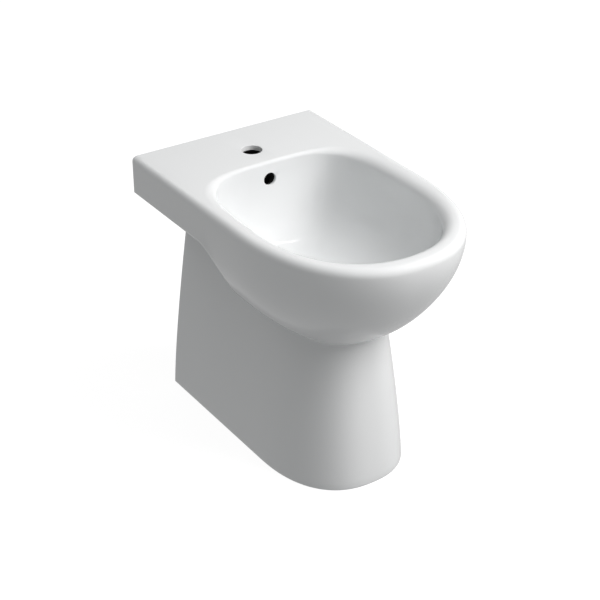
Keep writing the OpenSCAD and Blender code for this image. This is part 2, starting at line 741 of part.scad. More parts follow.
module outlet_pipe() {
    start = outlet_face - pipe_in;
    bead = pipe_in + squeeze_h + lip_t + 1;
    color(plastic) translate([0, start, outlet_z]) rotate([-90, 0, 0]) {
        ring_part(pipe_r, pipe_bore, depth / 2 - start);
        translate([0, 0, bead]) ring_part(pipe_r + bead_h, pipe_r - eps, bead_w);
    }
}

ceramic_body();
flange_gasket();
waste_body();
click_cartridge();
click_spring();
click_plunger();
plug_cap();
plug_seal();
cone_gasket();
slip_washer();
back_nut();
inlet_seal();
inlet_nut();
inlet_tube();
tube_seal();
tube_nut();
trap_body();
trap_cup();
cup_seal();
outlet_seal();
outlet_nut();
outlet_pipe();
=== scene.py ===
"""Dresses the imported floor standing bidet: fine china over the frame's own formulas, turned metal and
moulded plastic in place of the plain solids, procedural finishes, and a pale studio to see it in."""
import math

import bpy
import numpy as np
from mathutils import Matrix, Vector


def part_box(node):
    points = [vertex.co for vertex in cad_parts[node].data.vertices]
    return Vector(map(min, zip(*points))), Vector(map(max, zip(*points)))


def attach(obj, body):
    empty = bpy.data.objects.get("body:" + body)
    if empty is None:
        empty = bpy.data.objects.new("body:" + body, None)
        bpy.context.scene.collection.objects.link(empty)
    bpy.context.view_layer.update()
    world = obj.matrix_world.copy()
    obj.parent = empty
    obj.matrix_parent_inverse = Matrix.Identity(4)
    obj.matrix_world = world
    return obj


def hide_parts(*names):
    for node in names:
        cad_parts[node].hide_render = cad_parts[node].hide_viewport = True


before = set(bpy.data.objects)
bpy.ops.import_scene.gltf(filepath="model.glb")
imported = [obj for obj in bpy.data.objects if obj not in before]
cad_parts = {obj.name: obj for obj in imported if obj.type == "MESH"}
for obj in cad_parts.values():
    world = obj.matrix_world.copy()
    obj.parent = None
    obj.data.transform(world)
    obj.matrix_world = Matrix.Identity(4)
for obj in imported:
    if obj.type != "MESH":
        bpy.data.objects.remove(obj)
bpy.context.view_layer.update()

bl_info = {
    "name": "Floor Standing Bidet",
    "version": (1, 0, 0),
    "blender": (4, 5, 0),
    "location": "View3D > Sidebar > Bidet",
    "description": "Builds the china, the fittings, the finishes and the studio of a floor standing bidet",
    "category": "Add Mesh",
}

CHINA_LOW, CHINA_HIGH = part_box("ceramic_body")
BIDET, PLUG = "bidet", "plug"
# the third finish number is painted shade: near black in the holes' depths, the overflow way and the rail's
# inner face, where shade falls
GLAZED, UNGLAZED, PAINTED_SHADE = 0, 1, 2        # finish numbers of the china's faces
TUBE_R = 0.02095                        # the waste's threaded tube


# ---------------------------------------------------------------- settings
def length(name, description, default):
    """A length in metres."""
    return bpy.props.FloatProperty(name=name, description=description, default=default,
                                   unit="LENGTH", precision=4)


def share(name, description, default):
    """A plain number."""
    return bpy.props.FloatProperty(name=name, description=description, default=default)


def colour(name, description, default):
    """A linear colour."""
    return bpy.props.FloatVectorProperty(name=name, description=description, default=default,
                                         subtype="COLOR", size=3, min=0, max=1)


class ChinaSettings(bpy.types.PropertyGroup):
    """Sizes of the china body."""
    width: length("Width", "Width of the deck and rim", CHINA_HIGH.x - CHINA_LOW.x)
    depth: length("Depth", "Depth from the wall to the front of the rim", CHINA_HIGH.y - CHINA_LOW.y)
    height: length("Height", "Height of the rim above the floor", CHINA_HIGH.z - CHINA_LOW.z)
    wall: length("Wall", "Thickness of the china walls", 0.009)
    apron: length("Apron", "Depth of the deck's side apron", 0.068)
    apron_r: length("Apron edge", "Radius of the apron's lower edge", 0.007)
    belly: length("Belly", "Depth of the deck's underside where it meets the pedestal", 0.145)
    deck_edge_r: length("Deck edge", "Radius of the deck's upper edge", 0.0105)
    corner_r: length("Corner", "Radius of the upright corners at the wall", 0.003)
    deck_t: length("Deck thickness", "Thickness of the china deck", 0.011)
    rim_straight: length("Rim straight", "Distance from the wall at which the rim begins to curve", 0.310)
    rim_square: share("Rim squareness", "Squareness of the rim's front curve", 2.23)
    rim_edge_r: length("Rim edge", "Radius of the rim's outer upper edge", 0.013)
    mouth_w: length("Mouth width", "Width of the bowl's mouth", 0.286)
    mouth_mid: length("Mouth middle", "Distance from the wall to the mouth's widest place", 0.333)
    mouth_back: length("Mouth back", "Distance from the wall to the back of the mouth", 0.141)
    mouth_front: length("Mouth front", "Distance from the wall to the front of the mouth", 0.517)
    mouth_front_square: share("Mouth front squareness", "Squareness of the mouth's front", 2.15)
    mouth_back_square: share("Mouth back squareness", "Squareness of the mouth's back corners", 4.0)
    mouth_roll: length("Roll", "Roll from the rim into the bowl at the front", 0.017)
    side_roll: length("Side roll", "Width of the roll into the bowl at the sides", 0.023)
    back_roll: length("Back roll", "Roll from the deck into the bowl", 0.006)
    bowl_depth: length("Bowl depth", "Depth of the bowl below the rim", 0.155)
    hull_depth: length("Hull depth", "Depth of the hull below the rim at the sides", 0.180)
    hull_front_depth: length("Hull front depth", "Depth of the hull below the rim at the front", 0.195)
    hull_start: length("Hull start", "Distance from the wall at which the hull starts to swell", 0.212)
    hull_full: length("Hull full", "Distance from the wall at which the hull has its full depth", 0.268)
    cove: length("Cove", "Radius of the cove where the hull meets the pedestal", 0.011)
    foot_w: length("Foot width", "Width of the foot on the floor", 0.237)
    foot_front: length("Foot front", "Distance from the wall to the front of the foot", 0.446)
    neck_w: length("Neck width", "Width of the neck", 0.158)
    neck_front: length("Neck front", "Distance from the wall to the front of the neck", 0.402)
    neck_z: length("Neck height", "Height at which the pedestal is narrowest", 0.330)
    side_straight: length("Side straight", "Length of the pedestal's straight sides", 0.284)
    foot_square: share("Foot squareness", "Squareness of the pedestal's front", 2.4)
    flare: share("Flare", "How late the foot flares, 1 is a straight taper", 1.3)
    foot_edge_r: length("Foot edge", "Radius of the foot's lower edge", 0.003)
    foot_land: length("Foot land", "Width of the ground face on the floor", 0.014)
    tap_hole_r: length("Tap hole", "Radius of the tap hole", 0.0175)
    tap_u: length("Tap hole place", "Distance from the wall to the tap hole", 0.086)
    overflow_r: length("Overflow", "Radius of the overflow hole", 0.011)
    overflow_drop: length("Overflow depth", "Depth of the overflow hole below the rim", 0.032)
    rail_drop: length("Rail depth", "Depth of the rail under the deck along the wall", 0.084)
    rail_half_w: length("Rail half width", "Half the width of the rail's lower edge", 0.141)
    waste_u: length("Waste place", "Distance from the wall to the waste hole", 0.250)
    hole_edge: length("Hole edge", "Radius of the glazed edge round the holes", 0.0016)
    tap_glaze: length("Tap hole glaze", "Depth to which the tap hole is glazed", 0.0085)
    overflow_glaze: length("Overflow glaze", "Depth to which the overflow hole is glazed", 0.004)


class FittingSettings(bpy.types.PropertyGroup):
    """Sizes of the waste's and the trap's details. Their outsides come from the frame."""
    fit: length("Fit", "Gap of the fixed fits", 0.0001)
    edge: length("Edge", "Softness of the turned and moulded edges", 0.0005)
    pitch: length("Pitch", "Pitch of the threads", 0.00231)
    thread: length("Thread", "Depth of the threads", 0.0008)
    rib: length("Rib", "Height of the grip ribs", 0.0015)
    pipe_r: length("Pipe", "Outer radius of the pipes", 0.016)
    pipe_wall: length("Pipe wall", "Wall of the pipes", 0.0016)
    tube_r: length("Waste tube", "Outer radius of the threaded waste tube", TUBE_R)
    tube_wall: length("Waste tube wall", "Wall of the waste tube", 0.002)
    bottle_r: length("Bottle", "Outer radius of the trap's bottle", 0.030)
    trap_wall: length("Trap wall", "Wall of the trap's mouldings", 0.0026)
    lip: length("Lip", "Thickness of the nuts' lips", 0.003)


class FinishSettings(bpy.types.PropertyGroup):
    """Colours of the finishes."""
    glaze: colour("Glaze", "Colour of the glazed china", (0.745, 0.76, 0.765))
    biscuit: colour("Biscuit", "Colour of the unglazed china", (0.50, 0.47, 0.43))
    # painted shade: a near-black colour that stands in for the shade inside the overflow way, the holes' bores
    # and behind the rail
    slip: colour("Slip", "Colour of the raw slip inside the overflow way", (0.020, 0.019, 0.018))
    chrome: colour("Chrome", "Colour of the chrome plate", (0.62, 0.63, 0.64))
    brass: colour("Brass", "Colour of the plain brass", (0.64, 0.43, 0.17))
    steel: colour("Steel", "Colour of the stainless steel", (0.52, 0.51, 0.50))
    rubber: colour("Rubber", "Colour of the rubber", (0.022, 0.022, 0.023))
    plastic: colour("Plastic", "Colour of the moulded plastic", (0.74, 0.74, 0.73))


class StudioSettings(bpy.types.PropertyGroup):
    """Light and camera."""
    low_light: share("Low light", "Brightness below the horizon as the object sees it", 0.38)
    side_light: share("Side light", "Brightness of the horizon as the object sees it", 0.46)
    high_light: share("High light", "Brightness between the horizon and overhead as the object sees it", 0.08)
    top_light: share("Top light", "Brightness overhead as the object sees it", 0.86)
    floor_light: share("Floor light", "Brightness of the floor as the object sees it", 0.39)
    floor_white: share("Floor white", "Brightness of the floor to the eye", 0.90)
    mirror_light: share("Mirrored light", "Brightness of the surroundings in reflections", 0.48)
    mirror_floor: share("Mirrored floor", "Brightness of the floor in reflections", 0.58)
    key_power: bpy.props.FloatProperty(name="Key light", description="Power of the soft key light",
                                       default=98.0, unit="POWER")
    glint_power: bpy.props.FloatProperty(name="Glint light", description="Power of the narrow light that the "
                                         "glaze mirrors", default=3.0, unit="POWER")
    key_size: length("Key size", "Side of the key light's square panel", 2.0)
    lens: bpy.props.FloatProperty(name="Lens", description="Focal length of the camera", default=93.5,
                                  unit="CAMERA")


SETTINGS = {"bidet_china": ChinaSettings, "bidet_fitting": FittingSettings, "bidet_finish": FinishSettings,
            "bidet_studio": StudioSettings}


# ---------------------------------------------------------------- meshes from arrays
def put_mesh(name, points, faces, finish=None):
    """A mesh from an array of points and a list of index arrays, one array for each size of face.
    finish is one material index for each face, in the same order."""
    mesh = bpy.data.meshes.new(name)
    corners = np.concatenate([f.ravel() for f in faces]).astype(np.int32)
    sizes = np.concatenate([np.full(len(f), f.shape[1]) for f in faces])
    starts = (np.cumsum(sizes) - sizes).astype(np.int32)
    mesh.vertices.add(len(points))
    mesh.vertices.foreach_set("co", np.asarray(points, np.float32).ravel())
    mesh.loops.add(len(corners))
    mesh.loops.foreach_set("vertex_index", corners)
    mesh.polygons.add(len(sizes))
    mesh.polygons.foreach_set("loop_start", starts)
    if finish is not None:
        mesh.polygons.foreach_set("material_index", np.asarray(finish, np.int32))
    mesh.update(calc_edges=True)
    return mesh


def put_piece(name, mesh, body, materials, sharp=40):
    """Puts a mesh into the scene as a piece that rides on a body, smooth but for its sharp edges."""
    piece = bpy.data.objects.new(name, mesh)
    bpy.context.scene.collection.objects.link(piece)
    while len(mesh.materials) < len(materials):
        mesh.materials.append(None)
    while len(mesh.materials) > len(materials):
        mesh.materials.pop()
    for number, material in enumerate(materials):
        mesh.materials[number] = material
    mesh.shade_smooth()
    mesh.set_sharp_from_angle(angle=math.radians(sharp))
    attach(piece, body)
    return piece


def grid_faces(rows, columns):
    """Quads of a grid of rows whose columns close into rings, wound to face out where the rows go
    outwards and down while the columns go from the wall along the left side to the front."""
    row, column = np.meshgrid(np.arange(rows - 1), np.arange(columns), indexing="ij")
    a = row * columns + column
    b = row * columns + (column + 1) % columns
    return np.stack([a + columns, b + columns, b, a], -1).reshape(-1, 4)


# ---------------------------------------------------------------- formulas of the china
def mix(a, b, t):
    """a + (b - a) t."""
    return a + (b - a) * t


def ease(low, high, value):
    """Smooth step: t t (3 - 2 t) of the share of the way from low to high."""
    t = np.clip((value - low) / (high - low), 0, 1)
    return t * t * (3 - 2 * t)


def bezier(a, b, c, d, t):
    """Cubic Bezier curve through a and d with handles b and c."""
    return (1 - t) ** 3 * a + 3 * t * (1 - t) ** 2 * b + 3 * t * t * (1 - t) * c + t ** 3 * d


class ChinaShape:
    """The china's surfaces as functions of a station round a ring and a share down a profile. Every
    function takes shares as a column and gives x, u and z as arrays, one row a ring; u is the
    distance out from the wall. The stations are the left half of a ring: kind 0 runs along the wall
    side, kind 1 along a side and kind 2 round the front."""

    BEHIND = 0.040          # the china is shaped this far past the wall plane, then cut off flat
    SIDE_HANDLES = (0.69, 0.28)
    FRONT_HANDLES = (0.43, 0.22)
    HULL_SLOPE = math.tan(math.radians(8))
    BOWL_HANDLES = ((0.72, 0.72, 0.96), (0.62, 0.62, 0.945), (0.55, 0.5, 0.92))
    BACK_ARC = 30
    BACK_SHARE = 0.8
    LAND_RISE = 0.025

    def __init__(self, size, back, side, front):
        self.size = size
        self.kind = np.repeat([0, 1, 2], [back, side, front + 1])
        self.share = np.concatenate([np.arange(back) / back, np.arange(side) / side,
                                     np.arange(front + 1) / front])
        self.wall_side = self.kind == 0
        self.out = np.where(self.wall_side, self.share, 1.0)
        self.outer_kind = np.where(self.wall_side, 1, self.kind)
        self.outer_share = np.where(self.wall_side, 0.0, self.share)

    def d_plan(self, half_width, straight, front, square, back):
        """A D: straight sides, then x = half_width cos^(2/square) and u = straight + (front -
        straight) sin^(2/square) of a quarter turn. Stations at the wall take the corner's place."""
        turn = np.pi / 2 * self.outer_share
        curved = self.outer_kind == 2
        across = np.where(curved, np.clip(np.cos(turn), 0, 1) ** (2 / square), 1.0)
        along = np.where(curved, straight + (front - straight) * np.sin(turn) ** (2 / square),
                         mix(-back, straight, self.outer_share))
        return -half_width * across, along

    def mouth(self, grow_side, grow, grow_back):
        """Plan of the mouth: a superellipse of the back's squareness towards the wall and one of the
        front's squareness towards the front, grown sideways, forwards, and back to the wall."""
        s = self.size
        half_width = s.mouth_w / 2 + grow_side
        turn = np.radians(np.where(self.wall_side, 90 - self.BACK_ARC * self.share ** 2,
                                   (90 - self.BACK_ARC) * (1 - self.share) ** 2))
        quarter = np.pi / 2 * self.share
        k, m = 2 / s.mouth_back_square, 2 / s.mouth_front_square
        x_back = -half_width * np.clip(np.cos(turn), 0, 1) ** k
        u_back = s.mouth_mid - (s.mouth_mid - s.mouth_back + grow_back) * np.sin(turn) ** k
        x_front = -half_width * np.clip(np.cos(quarter), 0, 1) ** m
        u_front = s.mouth_mid + (s.mouth_front + grow - s.mouth_mid) * np.sin(quarter) ** m
        front = self.kind == 2
        return np.where(front, x_front, x_back), np.where(front, u_front, u_back)

    def pedestal(self, z, inset):
        """Plan of the pedestal at height z: a D whose width and length go from the foot's to the
        neck's with the height's share to the power of the flare."""
        s = self.size
        k = np.clip(z / s.neck_z, 0, 1) ** s.flare
        return self.d_plan(mix(s.foot_w, s.neck_w, k) / 2 - inset, s.side_straight,
                           mix(s.foot_front, s.neck_front, k) - inset, s.foot_square,
                           self.BEHIND - inset)

    def rim(self, inset):
        """Plan of the rim, moved in by inset."""
        s = self.size
        return self.d_plan(s.width / 2 - inset, s.rim_straight, s.depth - inset, s.rim_square,
                           self.BEHIND - inset)

    def hull(self, inset):
        """What each station needs for the outer side: the neck's place, the way out to the rim and
        its length, the depth where the hull ends, the cove's radius, and how much the station is
        hull and how much it is front."""
        s = self.size
        rim_x, rim_u = self.rim(inset)
        front = ease(s.rim_straight, s.depth, rim_u)
        hull = ease(s.hull_start, s.hull_full, rim_u)
        drop = mix(s.belly, mix(s.hull_depth, s.hull_front_depth, front), hull) - inset
        bend = s.cove + inset
        neck_x, neck_u = self.pedestal(s.height - drop - bend, inset)
        reach = np.hypot(rim_x - neck_x, rim_u - neck_u)
        way = ((rim_x - neck_x) / reach, (rim_u - neck_u) / reach)
        return neck_x, neck_u, way, reach, drop, bend, hull, front

    def at_wall(self, x, u, z, middle):
        """Stations at the wall run straight from the corner in to the height of the middle."""
        return x * self.out, u + 0 * x, np.where(self.wall_side, mix(middle, z, self.out), z)

    def apron(self, t, reach, top, drop, low, inner, r):
        """Profile of the apron: straight down, a quarter turn of radius r, then in and down."""
        a = np.clip((t - 0.3) / 0.2, 0, 1) * np.pi / 2
        inwards = np.clip(2 * t - 1, 0, 1)
        out = np.where(t < 0.5, reach - r * (1 - np.cos(a)), mix(reach - r, inner, inwards))
        down = np.where(t < 0.3, mix(top, drop - r, np.clip(t / 0.3, 0, 1)),
                        np.where(t < 0.5, drop - r * (1 - np.sin(a)), mix(drop, low, ease(0.5, 1, t))))
        return out, down

    def side(self, t, inset, top):
        """The outer side from the rim to the cove: the apron's profile blended into a cubic curve
        under the bowl, carried along the way from the neck to the rim."""
        s = self.size
        neck_x, neck_u, way, reach, drop, bend, hull, front = self.hull(inset)
        r = s.apron_r - min(inset, s.apron_r - 0.001)
        apron = self.apron(t, reach, top, s.apron - inset, s.belly - inset, bend, r)
        deep = mix(s.hull_depth, s.hull_front_depth, front) - inset
        fall = mix(self.SIDE_HANDLES[0], self.FRONT_HANDLES[0], front)
        handle = mix(self.SIDE_HANDLES[1], self.FRONT_HANDLES[1], front) * (reach - bend)
        curve = (bezier(reach, reach, bend + handle, bend, t),
                 bezier(top, mix(top, deep, fall), deep - handle * self.HULL_SLOPE, deep, t))
        out, down = mix(apron[0], curve[0], hull), mix(apron[1], curve[1], hull)
        middle = s.height - mix(top, self.BACK_SHARE * s.apron, t)
        return self.at_wall(neck_x + way[0] * out, neck_u + way[1] * out, s.height - down, middle)

    def cove(self, t, inset):
        """The cove from the hull to the pedestal: a parabola that leaves along the hull's slope."""
        s = self.size
        neck_x, neck_u, way, reach, drop, bend, hull, front = self.hull(inset)
        out = bend * (1 - t) ** 2
        z = s.height - drop - 2 * t * (1 - t) * bend * self.HULL_SLOPE * hull - t * t * bend
        middle = mix(s.height - self.BACK_SHARE * s.apron, z[:, self.kind == 1][:, :1], t)
        return self.at_wall(neck_x + way[0] * out, neck_u + way[1] * out, z, middle)

    def leg(self, t, inset, low):
        """The pedestal from the cove down to height low."""
        drop, bend = self.hull(inset)[4:6]
        z = mix(self.size.height - drop - bend, low, t)
        x, u = self.pedestal(z, inset)
        return x * self.out, u, z

    def edge_radius(self):
        """Radius of the rim's outer upper edge: the deck's, easing to the bowl's."""
        s = self.size
        return mix(s.deck_edge_r, s.rim_edge_r, ease(s.mouth_back, s.hull_full, self.rim(0)[1]))

    def edge(self, t):
        """The rim's outer upper edge, a quarter turn from its side (t = 0) to its top (t = 1)."""
        a = t * np.pi / 2
        r = self.edge_radius()
        x, u = self.rim(r * (1 - np.cos(a)))
        return x * self.out, u, self.size.height - r * (1 - np.sin(a)) + 0 * x

    def roll_depth(self):
        """Depth of the roll: the back's, growing to the sides' with the fourth power of x."""
        s = self.size
        x = self.mouth(0, 0, 0)[0]
        sideways = np.where(self.kind == 2, 1.0, (x / (s.mouth_w / 2)) ** 4)
        return mix(s.back_roll, s.mouth_roll, sideways)

    def roll(self, t):
        """The roll, a quarter ellipse from the bowl's wall (t = 0) up to the rim's top (t = 1)."""
        s = self.size
        a = t * np.pi / 2
        x, u = self.mouth(*(width * (1 - np.cos(a)) for width in (s.side_roll, s.mouth_roll, s.back_roll)))
        return x, u, s.height - self.roll_depth() * (1 - np.sin(a))

    def bowl(self, t, inset, top):
        """The bowl from under the roll in to the waste: a cubic curve in reach and depth, whose
        handles ease from the wall's to the side's and the front's with the direction."""
        s = self.size
        x, u = self.mouth(inset, inset, inset)
        reach = np.hypot(x, u - s.waste_u)
        way = (x / reach, (u - s.waste_u) / reach)
        turn = np.degrees(np.arctan2(np.abs(way[0]), -way[1]))
        back, side, front = (np.array(h)[:, None] for h in self.BOWL_HANDLES)
        k = np.where(turn < 90, mix(back, side, ease(0, 90, turn)), mix(side, front, ease(90, 180, turn)))
        low = s.bowl_depth + inset
        r = bezier(reach, reach, k[1] * reach, 0, t)
        down = bezier(top, mix(top, low, k[0]), mix(top, low, k[2]), low, t)
        return way[0] * r, s.waste_u + way[1] * r, s.height - down

    def rings(self, surface):
        """Whole rings in place from a surface's left half, mirrored."""
        x, u, z = np.broadcast_arrays(*surface)
        left = np.stack([x, self.size.depth / 2 - u, z], -1)
        right = left[:, -2:0:-1] * np.array([-1.0, 1.0, 1.0])
        return np.concatenate([left, right], 1)


def column(first, last, count):
    """Shares from first to last as a column."""
    return np.linspace(first, last, count)[:, None]


def china_skin(size):
    """The closed skin of the china: bowl, roll, rim edge, hull, cove, pedestal and ground foot
    outside, then up the inside. Gives its mesh with glazed and unglazed faces."""
    shape = ChinaShape(size, back=10, side=44, front=52)
    wall, down, up = size.wall, 44, 24          # rings down the bowl's inside and up its underside
    outside = [
        shape.rings(shape.bowl(column(1 - 1 / down, 0, down), 0, shape.roll_depth())),
        shape.rings(shape.roll(column(0, 1, 11)[1:])),
        shape.rings(shape.edge(column(1, 0, 11))),
        shape.rings(shape.side(column(0, 1, 61)[1:], 0, shape.edge_radius())),
        shape.rings(shape.cove(column(0, 1, 9)[1:], 0)),
        shape.rings(shape.leg(column(0, 1, 25)[1:], 0, size.foot_edge_r)),
        foot_edge(shape, size),
    ]
    inside = [
        shape.rings((*on_floor(shape, size.foot_land), 0 * shape.out[None])),
        shape.rings(shape.leg(column(1, 0, 13)[:-1], wall, shape.LAND_RISE)),
        shape.rings(shape.cove(column(1, 0, 5)[:-1], wall)),
        shape.rings(shape.side(column(1, 0, 31), wall, size.deck_t)),
        shape.rings(shape.bowl(column(0, 1 - 1 / up, up), wall, size.deck_t)),
    ]
    rings = np.concatenate(outside + inside)
    glazed_rows = sum(len(part) for part in outside)
    rows, columns = rings.shape[:2]
    waste_y = size.depth / 2 - size.waste_u
    floor_z = size.height - size.bowl_depth
    points = np.concatenate([rings.reshape(-1, 3), [[0, waste_y, floor_z], [0, waste_y, floor_z - wall]]])
    first = np.arange(columns)
    after = (first + 1) % columns
    last = (rows - 1) * columns
    top = np.stack([first, after, np.full(columns, rows * columns)], 1)
    under = np.stack([last + after, last + first, np.full(columns, rows * columns + 1)], 1)
    quads = grid_faces(rows, columns)
    of_row = np.arange(len(quads)) // columns
    finish = np.concatenate([np.where(of_row < glazed_rows - 1, GLAZED, UNGLAZED),
                             np.full(columns, GLAZED), np.full(columns, UNGLAZED)])
    return put_mesh("china_body", points, [quads, top, under], finish)


def on_floor(shape, inset):
    """Plan of the pedestal on the floor, moved in by inset."""
    x, u = shape.pedestal(np.zeros((1, 1)), inset)
    return x * shape.out, u


def foot_edge(shape, size):
    """The foot's lower edge, a quarter turn under to the floor."""
    a = column(0, np.pi / 2, 5)[1:]
    r = size.foot_edge_r
    z = r * (1 - np.sin(a))
    x, u = shape.pedestal(z, r * (1 - np.cos(a)))
    return shape.rings((x * shape.out, u, z + 0 * x))


# ---------------------------------------------------------------- turned solids, prisms and cuts
def rounded(profile, radius, steps=4, fixed=()):
    """A profile whose corners are parabolas between points radius away along both edges, or less
    far where an edge is short. The corners whose numbers are in fixed stay sharp."""
    corner = np.asarray(profile, float)
    back, on = np.roll(corner, 1, 0) - corner, np.roll(corner, -1, 0) - corner
    back_len, on_len = np.linalg.norm(back, axis=1), np.linalg.norm(on, axis=1)
    cut = np.minimum(np.broadcast_to(radius, back_len.shape), 0.45 * np.minimum(back_len, on_len))
    cut[list(fixed)] = 0
    start = corner + back * (cut / back_len)[:, None]
    end = corner + on * (cut / on_len)[:, None]
    t = np.linspace(0, 1, steps + 1)[None, :, None]
    curve = (1 - t) ** 2 * start[:, None] + 2 * t * (1 - t) * corner[:, None] + t * t * end[:, None]
    points = curve.reshape(-1, 2)
    apart = np.linalg.norm(points - np.roll(points, 1, 0), axis=1) > 1e-8
    return points[apart]


def refined(profile, step):
    """A closed profile with its long edges divided so that no part is longer than step."""
    ends = np.roll(profile, -1, 0)
    counts = np.maximum(1, np.ceil(np.linalg.norm(ends - profile, axis=1) / step)).astype(int)
    owner = np.repeat(np.arange(len(profile)), counts)
    first = np.cumsum(counts) - counts
    t = ((np.arange(len(owner)) - first[owner]) / counts[owner])[:, None]
    return profile[owner] * (1 - t) + ends[owner] * t


def turned_mesh(name, profile, place=(0, 0, 0), axis="Z", turns=96, finish=0, form=None):
    """A solid of revolution: each (radius, height) of the profile, which runs anticlockwise, carried
    round the axis through a place. A profile that starts and ends on the axis is closed by poles, any
    other by itself. form changes the radius as a function of radius, height and angle; finish is a
    number for all faces or one for each band between two rings."""
    profile = np.asarray(profile, float)
    on_axis = profile[0, 0] < 1e-9 and profile[-1, 0] < 1e-9
    body = profile[1:-1] if on_axis else profile
    angle = np.linspace(0, 2 * np.pi, turns, endpoint=False)
    r, h = body[:, :1], body[:, 1:]
    if form is not None:
        r = form(r, h, angle)
    points = np.stack([r * np.cos(angle), r * np.sin(angle), h + 0 * angle], -1).reshape(-1, 3)
    rows = len(body)
    first, after = np.arange(turns), (np.arange(turns) + 1) % turns
    if on_axis:
        points = np.concatenate([points, [[0, 0, profile[0, 1]], [0, 0, profile[-1, 1]]]])
        last = (rows - 1) * turns
        faces = [grid_faces(rows, turns)[:, ::-1],
                 np.stack([after, first, np.full(turns, rows * turns)], 1),
                 np.stack([last + first, last + after, np.full(turns, rows * turns + 1)], 1)]
    else:
        row = np.arange(rows)[:, None] * turns
        over = (np.arange(rows)[:, None] + 1) % rows * turns
        faces = [np.stack([row + first, row + after, over + after, over + first], -1).reshape(-1, 4)]
    if axis == "Y":
        points = points[:, [0, 2, 1]] * np.array([-1.0, 1.0, 1.0])
    bands = max(rows - 1, 1) if on_axis else rows
    finish = np.repeat(np.broadcast_to(finish, bands), turns)
    ends = [finish[:turns], finish[-turns:]] if on_axis else []
    return put_mesh(name, points + np.asarray(place), faces, np.concatenate([finish, *ends]))


def cylinder_mesh(name, r, low, high, place=(0, 0, 0), axis="Z", turns=96, finish=0):
    """A plain cylinder of radius r from low to high along an axis."""
    return turned_mesh(name, [[0, low], [r, low], [r, high], [0, high]], place, axis, turns, finish)


def prism_mesh(name, plan, low, high, finish=0):
    """An upright prism over a plan whose points go round anticlockwise. finish is a number for all
    faces or one for each wall, the lower end and the upper end."""
    plan = np.asarray(plan, float)
    n = len(plan)
    points = np.concatenate([np.column_stack([plan, np.full(n, z)]) for z in (low, high)])
    i, j = np.arange(n), (np.arange(n) + 1) % n
    walls = np.stack([i, j, j + n, i + n], 1)
    return put_mesh(name, points, [walls, i[None, ::-1], i[None] + n], np.broadcast_to(finish, n + 2))


def moved(mesh, place, turn_x=0.0, turn_z=0.0):
    """Turns a mesh's points by an angle round X, then by one round Z, and moves them to a place."""
    (c, s), (k, n) = ((math.cos(turn), math.sin(turn)) for turn in (turn_x, turn_z))
    turn = np.array([[1, 0, 0], [0, c, s], [0, -s, c]]) @ np.array([[k, n, 0], [-n, k, 0], [0, 0, 1]])
    points = np.empty(len(mesh.vertices) * 3, np.float32)
    mesh.vertices.foreach_get("co", points)
    turned = points.reshape(-1, 3) @ turn.astype(np.float32) + np.asarray(place, np.float32)
    mesh.vertices.foreach_set("co", turned.ravel())
    mesh.update()
    return mesh


def cut_and_joined(mesh, joined, cut):
    """The mesh joined with the first row of meshes and cut by the second. All have the same slots
    meanwhile, so that the faces keep their finish numbers."""
    scene = bpy.context.scene.collection
    for part in (mesh, *joined, *cut):
        for finish in CHINA_FINISHES:
            part.materials.append(finishes()[finish])
    work = bpy.data.objects.new("work", mesh)
    scene.objects.link(work)
    tools = []
    for tool_mesh in (*joined, *cut):
        tool = bpy.data.objects.new(tool_mesh.name, tool_mesh)
        scene.objects.link(tool)
        step = work.modifiers.new(tool_mesh.name, "BOOLEAN")
        step.operation = "UNION" if len(tools) < len(joined) else "DIFFERENCE"
        step.solver = "MANIFOLD"
        step.object = tool
        tools.append(tool)
    bpy.context.view_layer.update()
    done = bpy.data.meshes.new_from_object(work.evaluated_get(bpy.context.evaluated_depsgraph_get()))
    if len(done.polygons) < FEWEST_FACES:
        raise RuntimeError("a piece was lost in its cuts")
    for spent in (work, *tools):
        spent_mesh = spent.data
        bpy.data.objects.remove(spent)
        bpy.data.meshes.remove(spent_mesh)
    return done


# ---------------------------------------------------------------- holes and hidden forms of the china
PAST = 0.001                # how far a cutter passes a face
FEWEST_FACES = 1000         # a cut piece with fewer has been lost
WASTE_HOLE_R, WASTE_HOLE_LENGTH = 0.023, 0.045
RECESS_R, RECESS_DROP, RECESS_DEPTH = 0.033, 0.0025, 0.012
BOSS_R = 0.036
WAY_R, WAY_SHELL_R, WAY_FALL, WAY_END = 0.009, 0.014, 6, 0.003


def waste_levels(size):
    """Heights of the bowl's floor, of the recess in it and of the boss's lower end."""
    floor_z = size.height - size.bowl_depth
    return floor_z, floor_z - RECESS_DROP, floor_z - RECESS_DROP - WASTE_HOLE_LENGTH


def way_place(size):
    """Distance from the wall to the upright part of the overflow way."""
    return size.mouth_back - size.wall - WAY_R + PAST


def way_tools(size, name, r, top_z, past_hole, finish):
    """The overflow way as two cylinders: down behind the bowl, then forward to the waste hole."""
    fall = math.radians(WAY_FALL)
    run = size.waste_u - WASTE_HOLE_R - way_place(size)
    low_z = (waste_levels(size)[2] + PAST / 2 + (run + WAY_SHELL_R / 2 + WAY_END) * math.sin(fall)
             + (WAY_SHELL_R - PAST) * math.cos(fall))
    y = size.depth / 2 - way_place(size)
    down = cylinder_mesh(name + "_down", r, low_z - r, top_z, (0, y, 0), turns=64, finish=finish)
    forward = cylinder_mesh(name + "_forward", r - PAST, 0, run + r / 2 + past_hole, turns=64, finish=finish)
    return down, moved(forward, (0, y + r / 2, low_z), math.radians(90 + WAY_FALL))


def hole_profile(r, low, high, edge, glaze, past=0.004):
    """Profile of a cutter for a round hole whose upper edge is a quarter turn of radius edge, with a ring at
    the depth to which it is glazed. Its first band is the unglazed depth below that ring, which the callers
    give the painted shade."""
    a = np.linspace(0, np.pi / 2, 9)
    flare = np.stack([r + edge * (1 - np.cos(a)), high - edge * (1 - np.sin(a))], 1)
    return np.concatenate([[[0, low], [r, low], [r, high - glaze]], flare,
                           [[r + edge, high + past], [0, high + past]]])


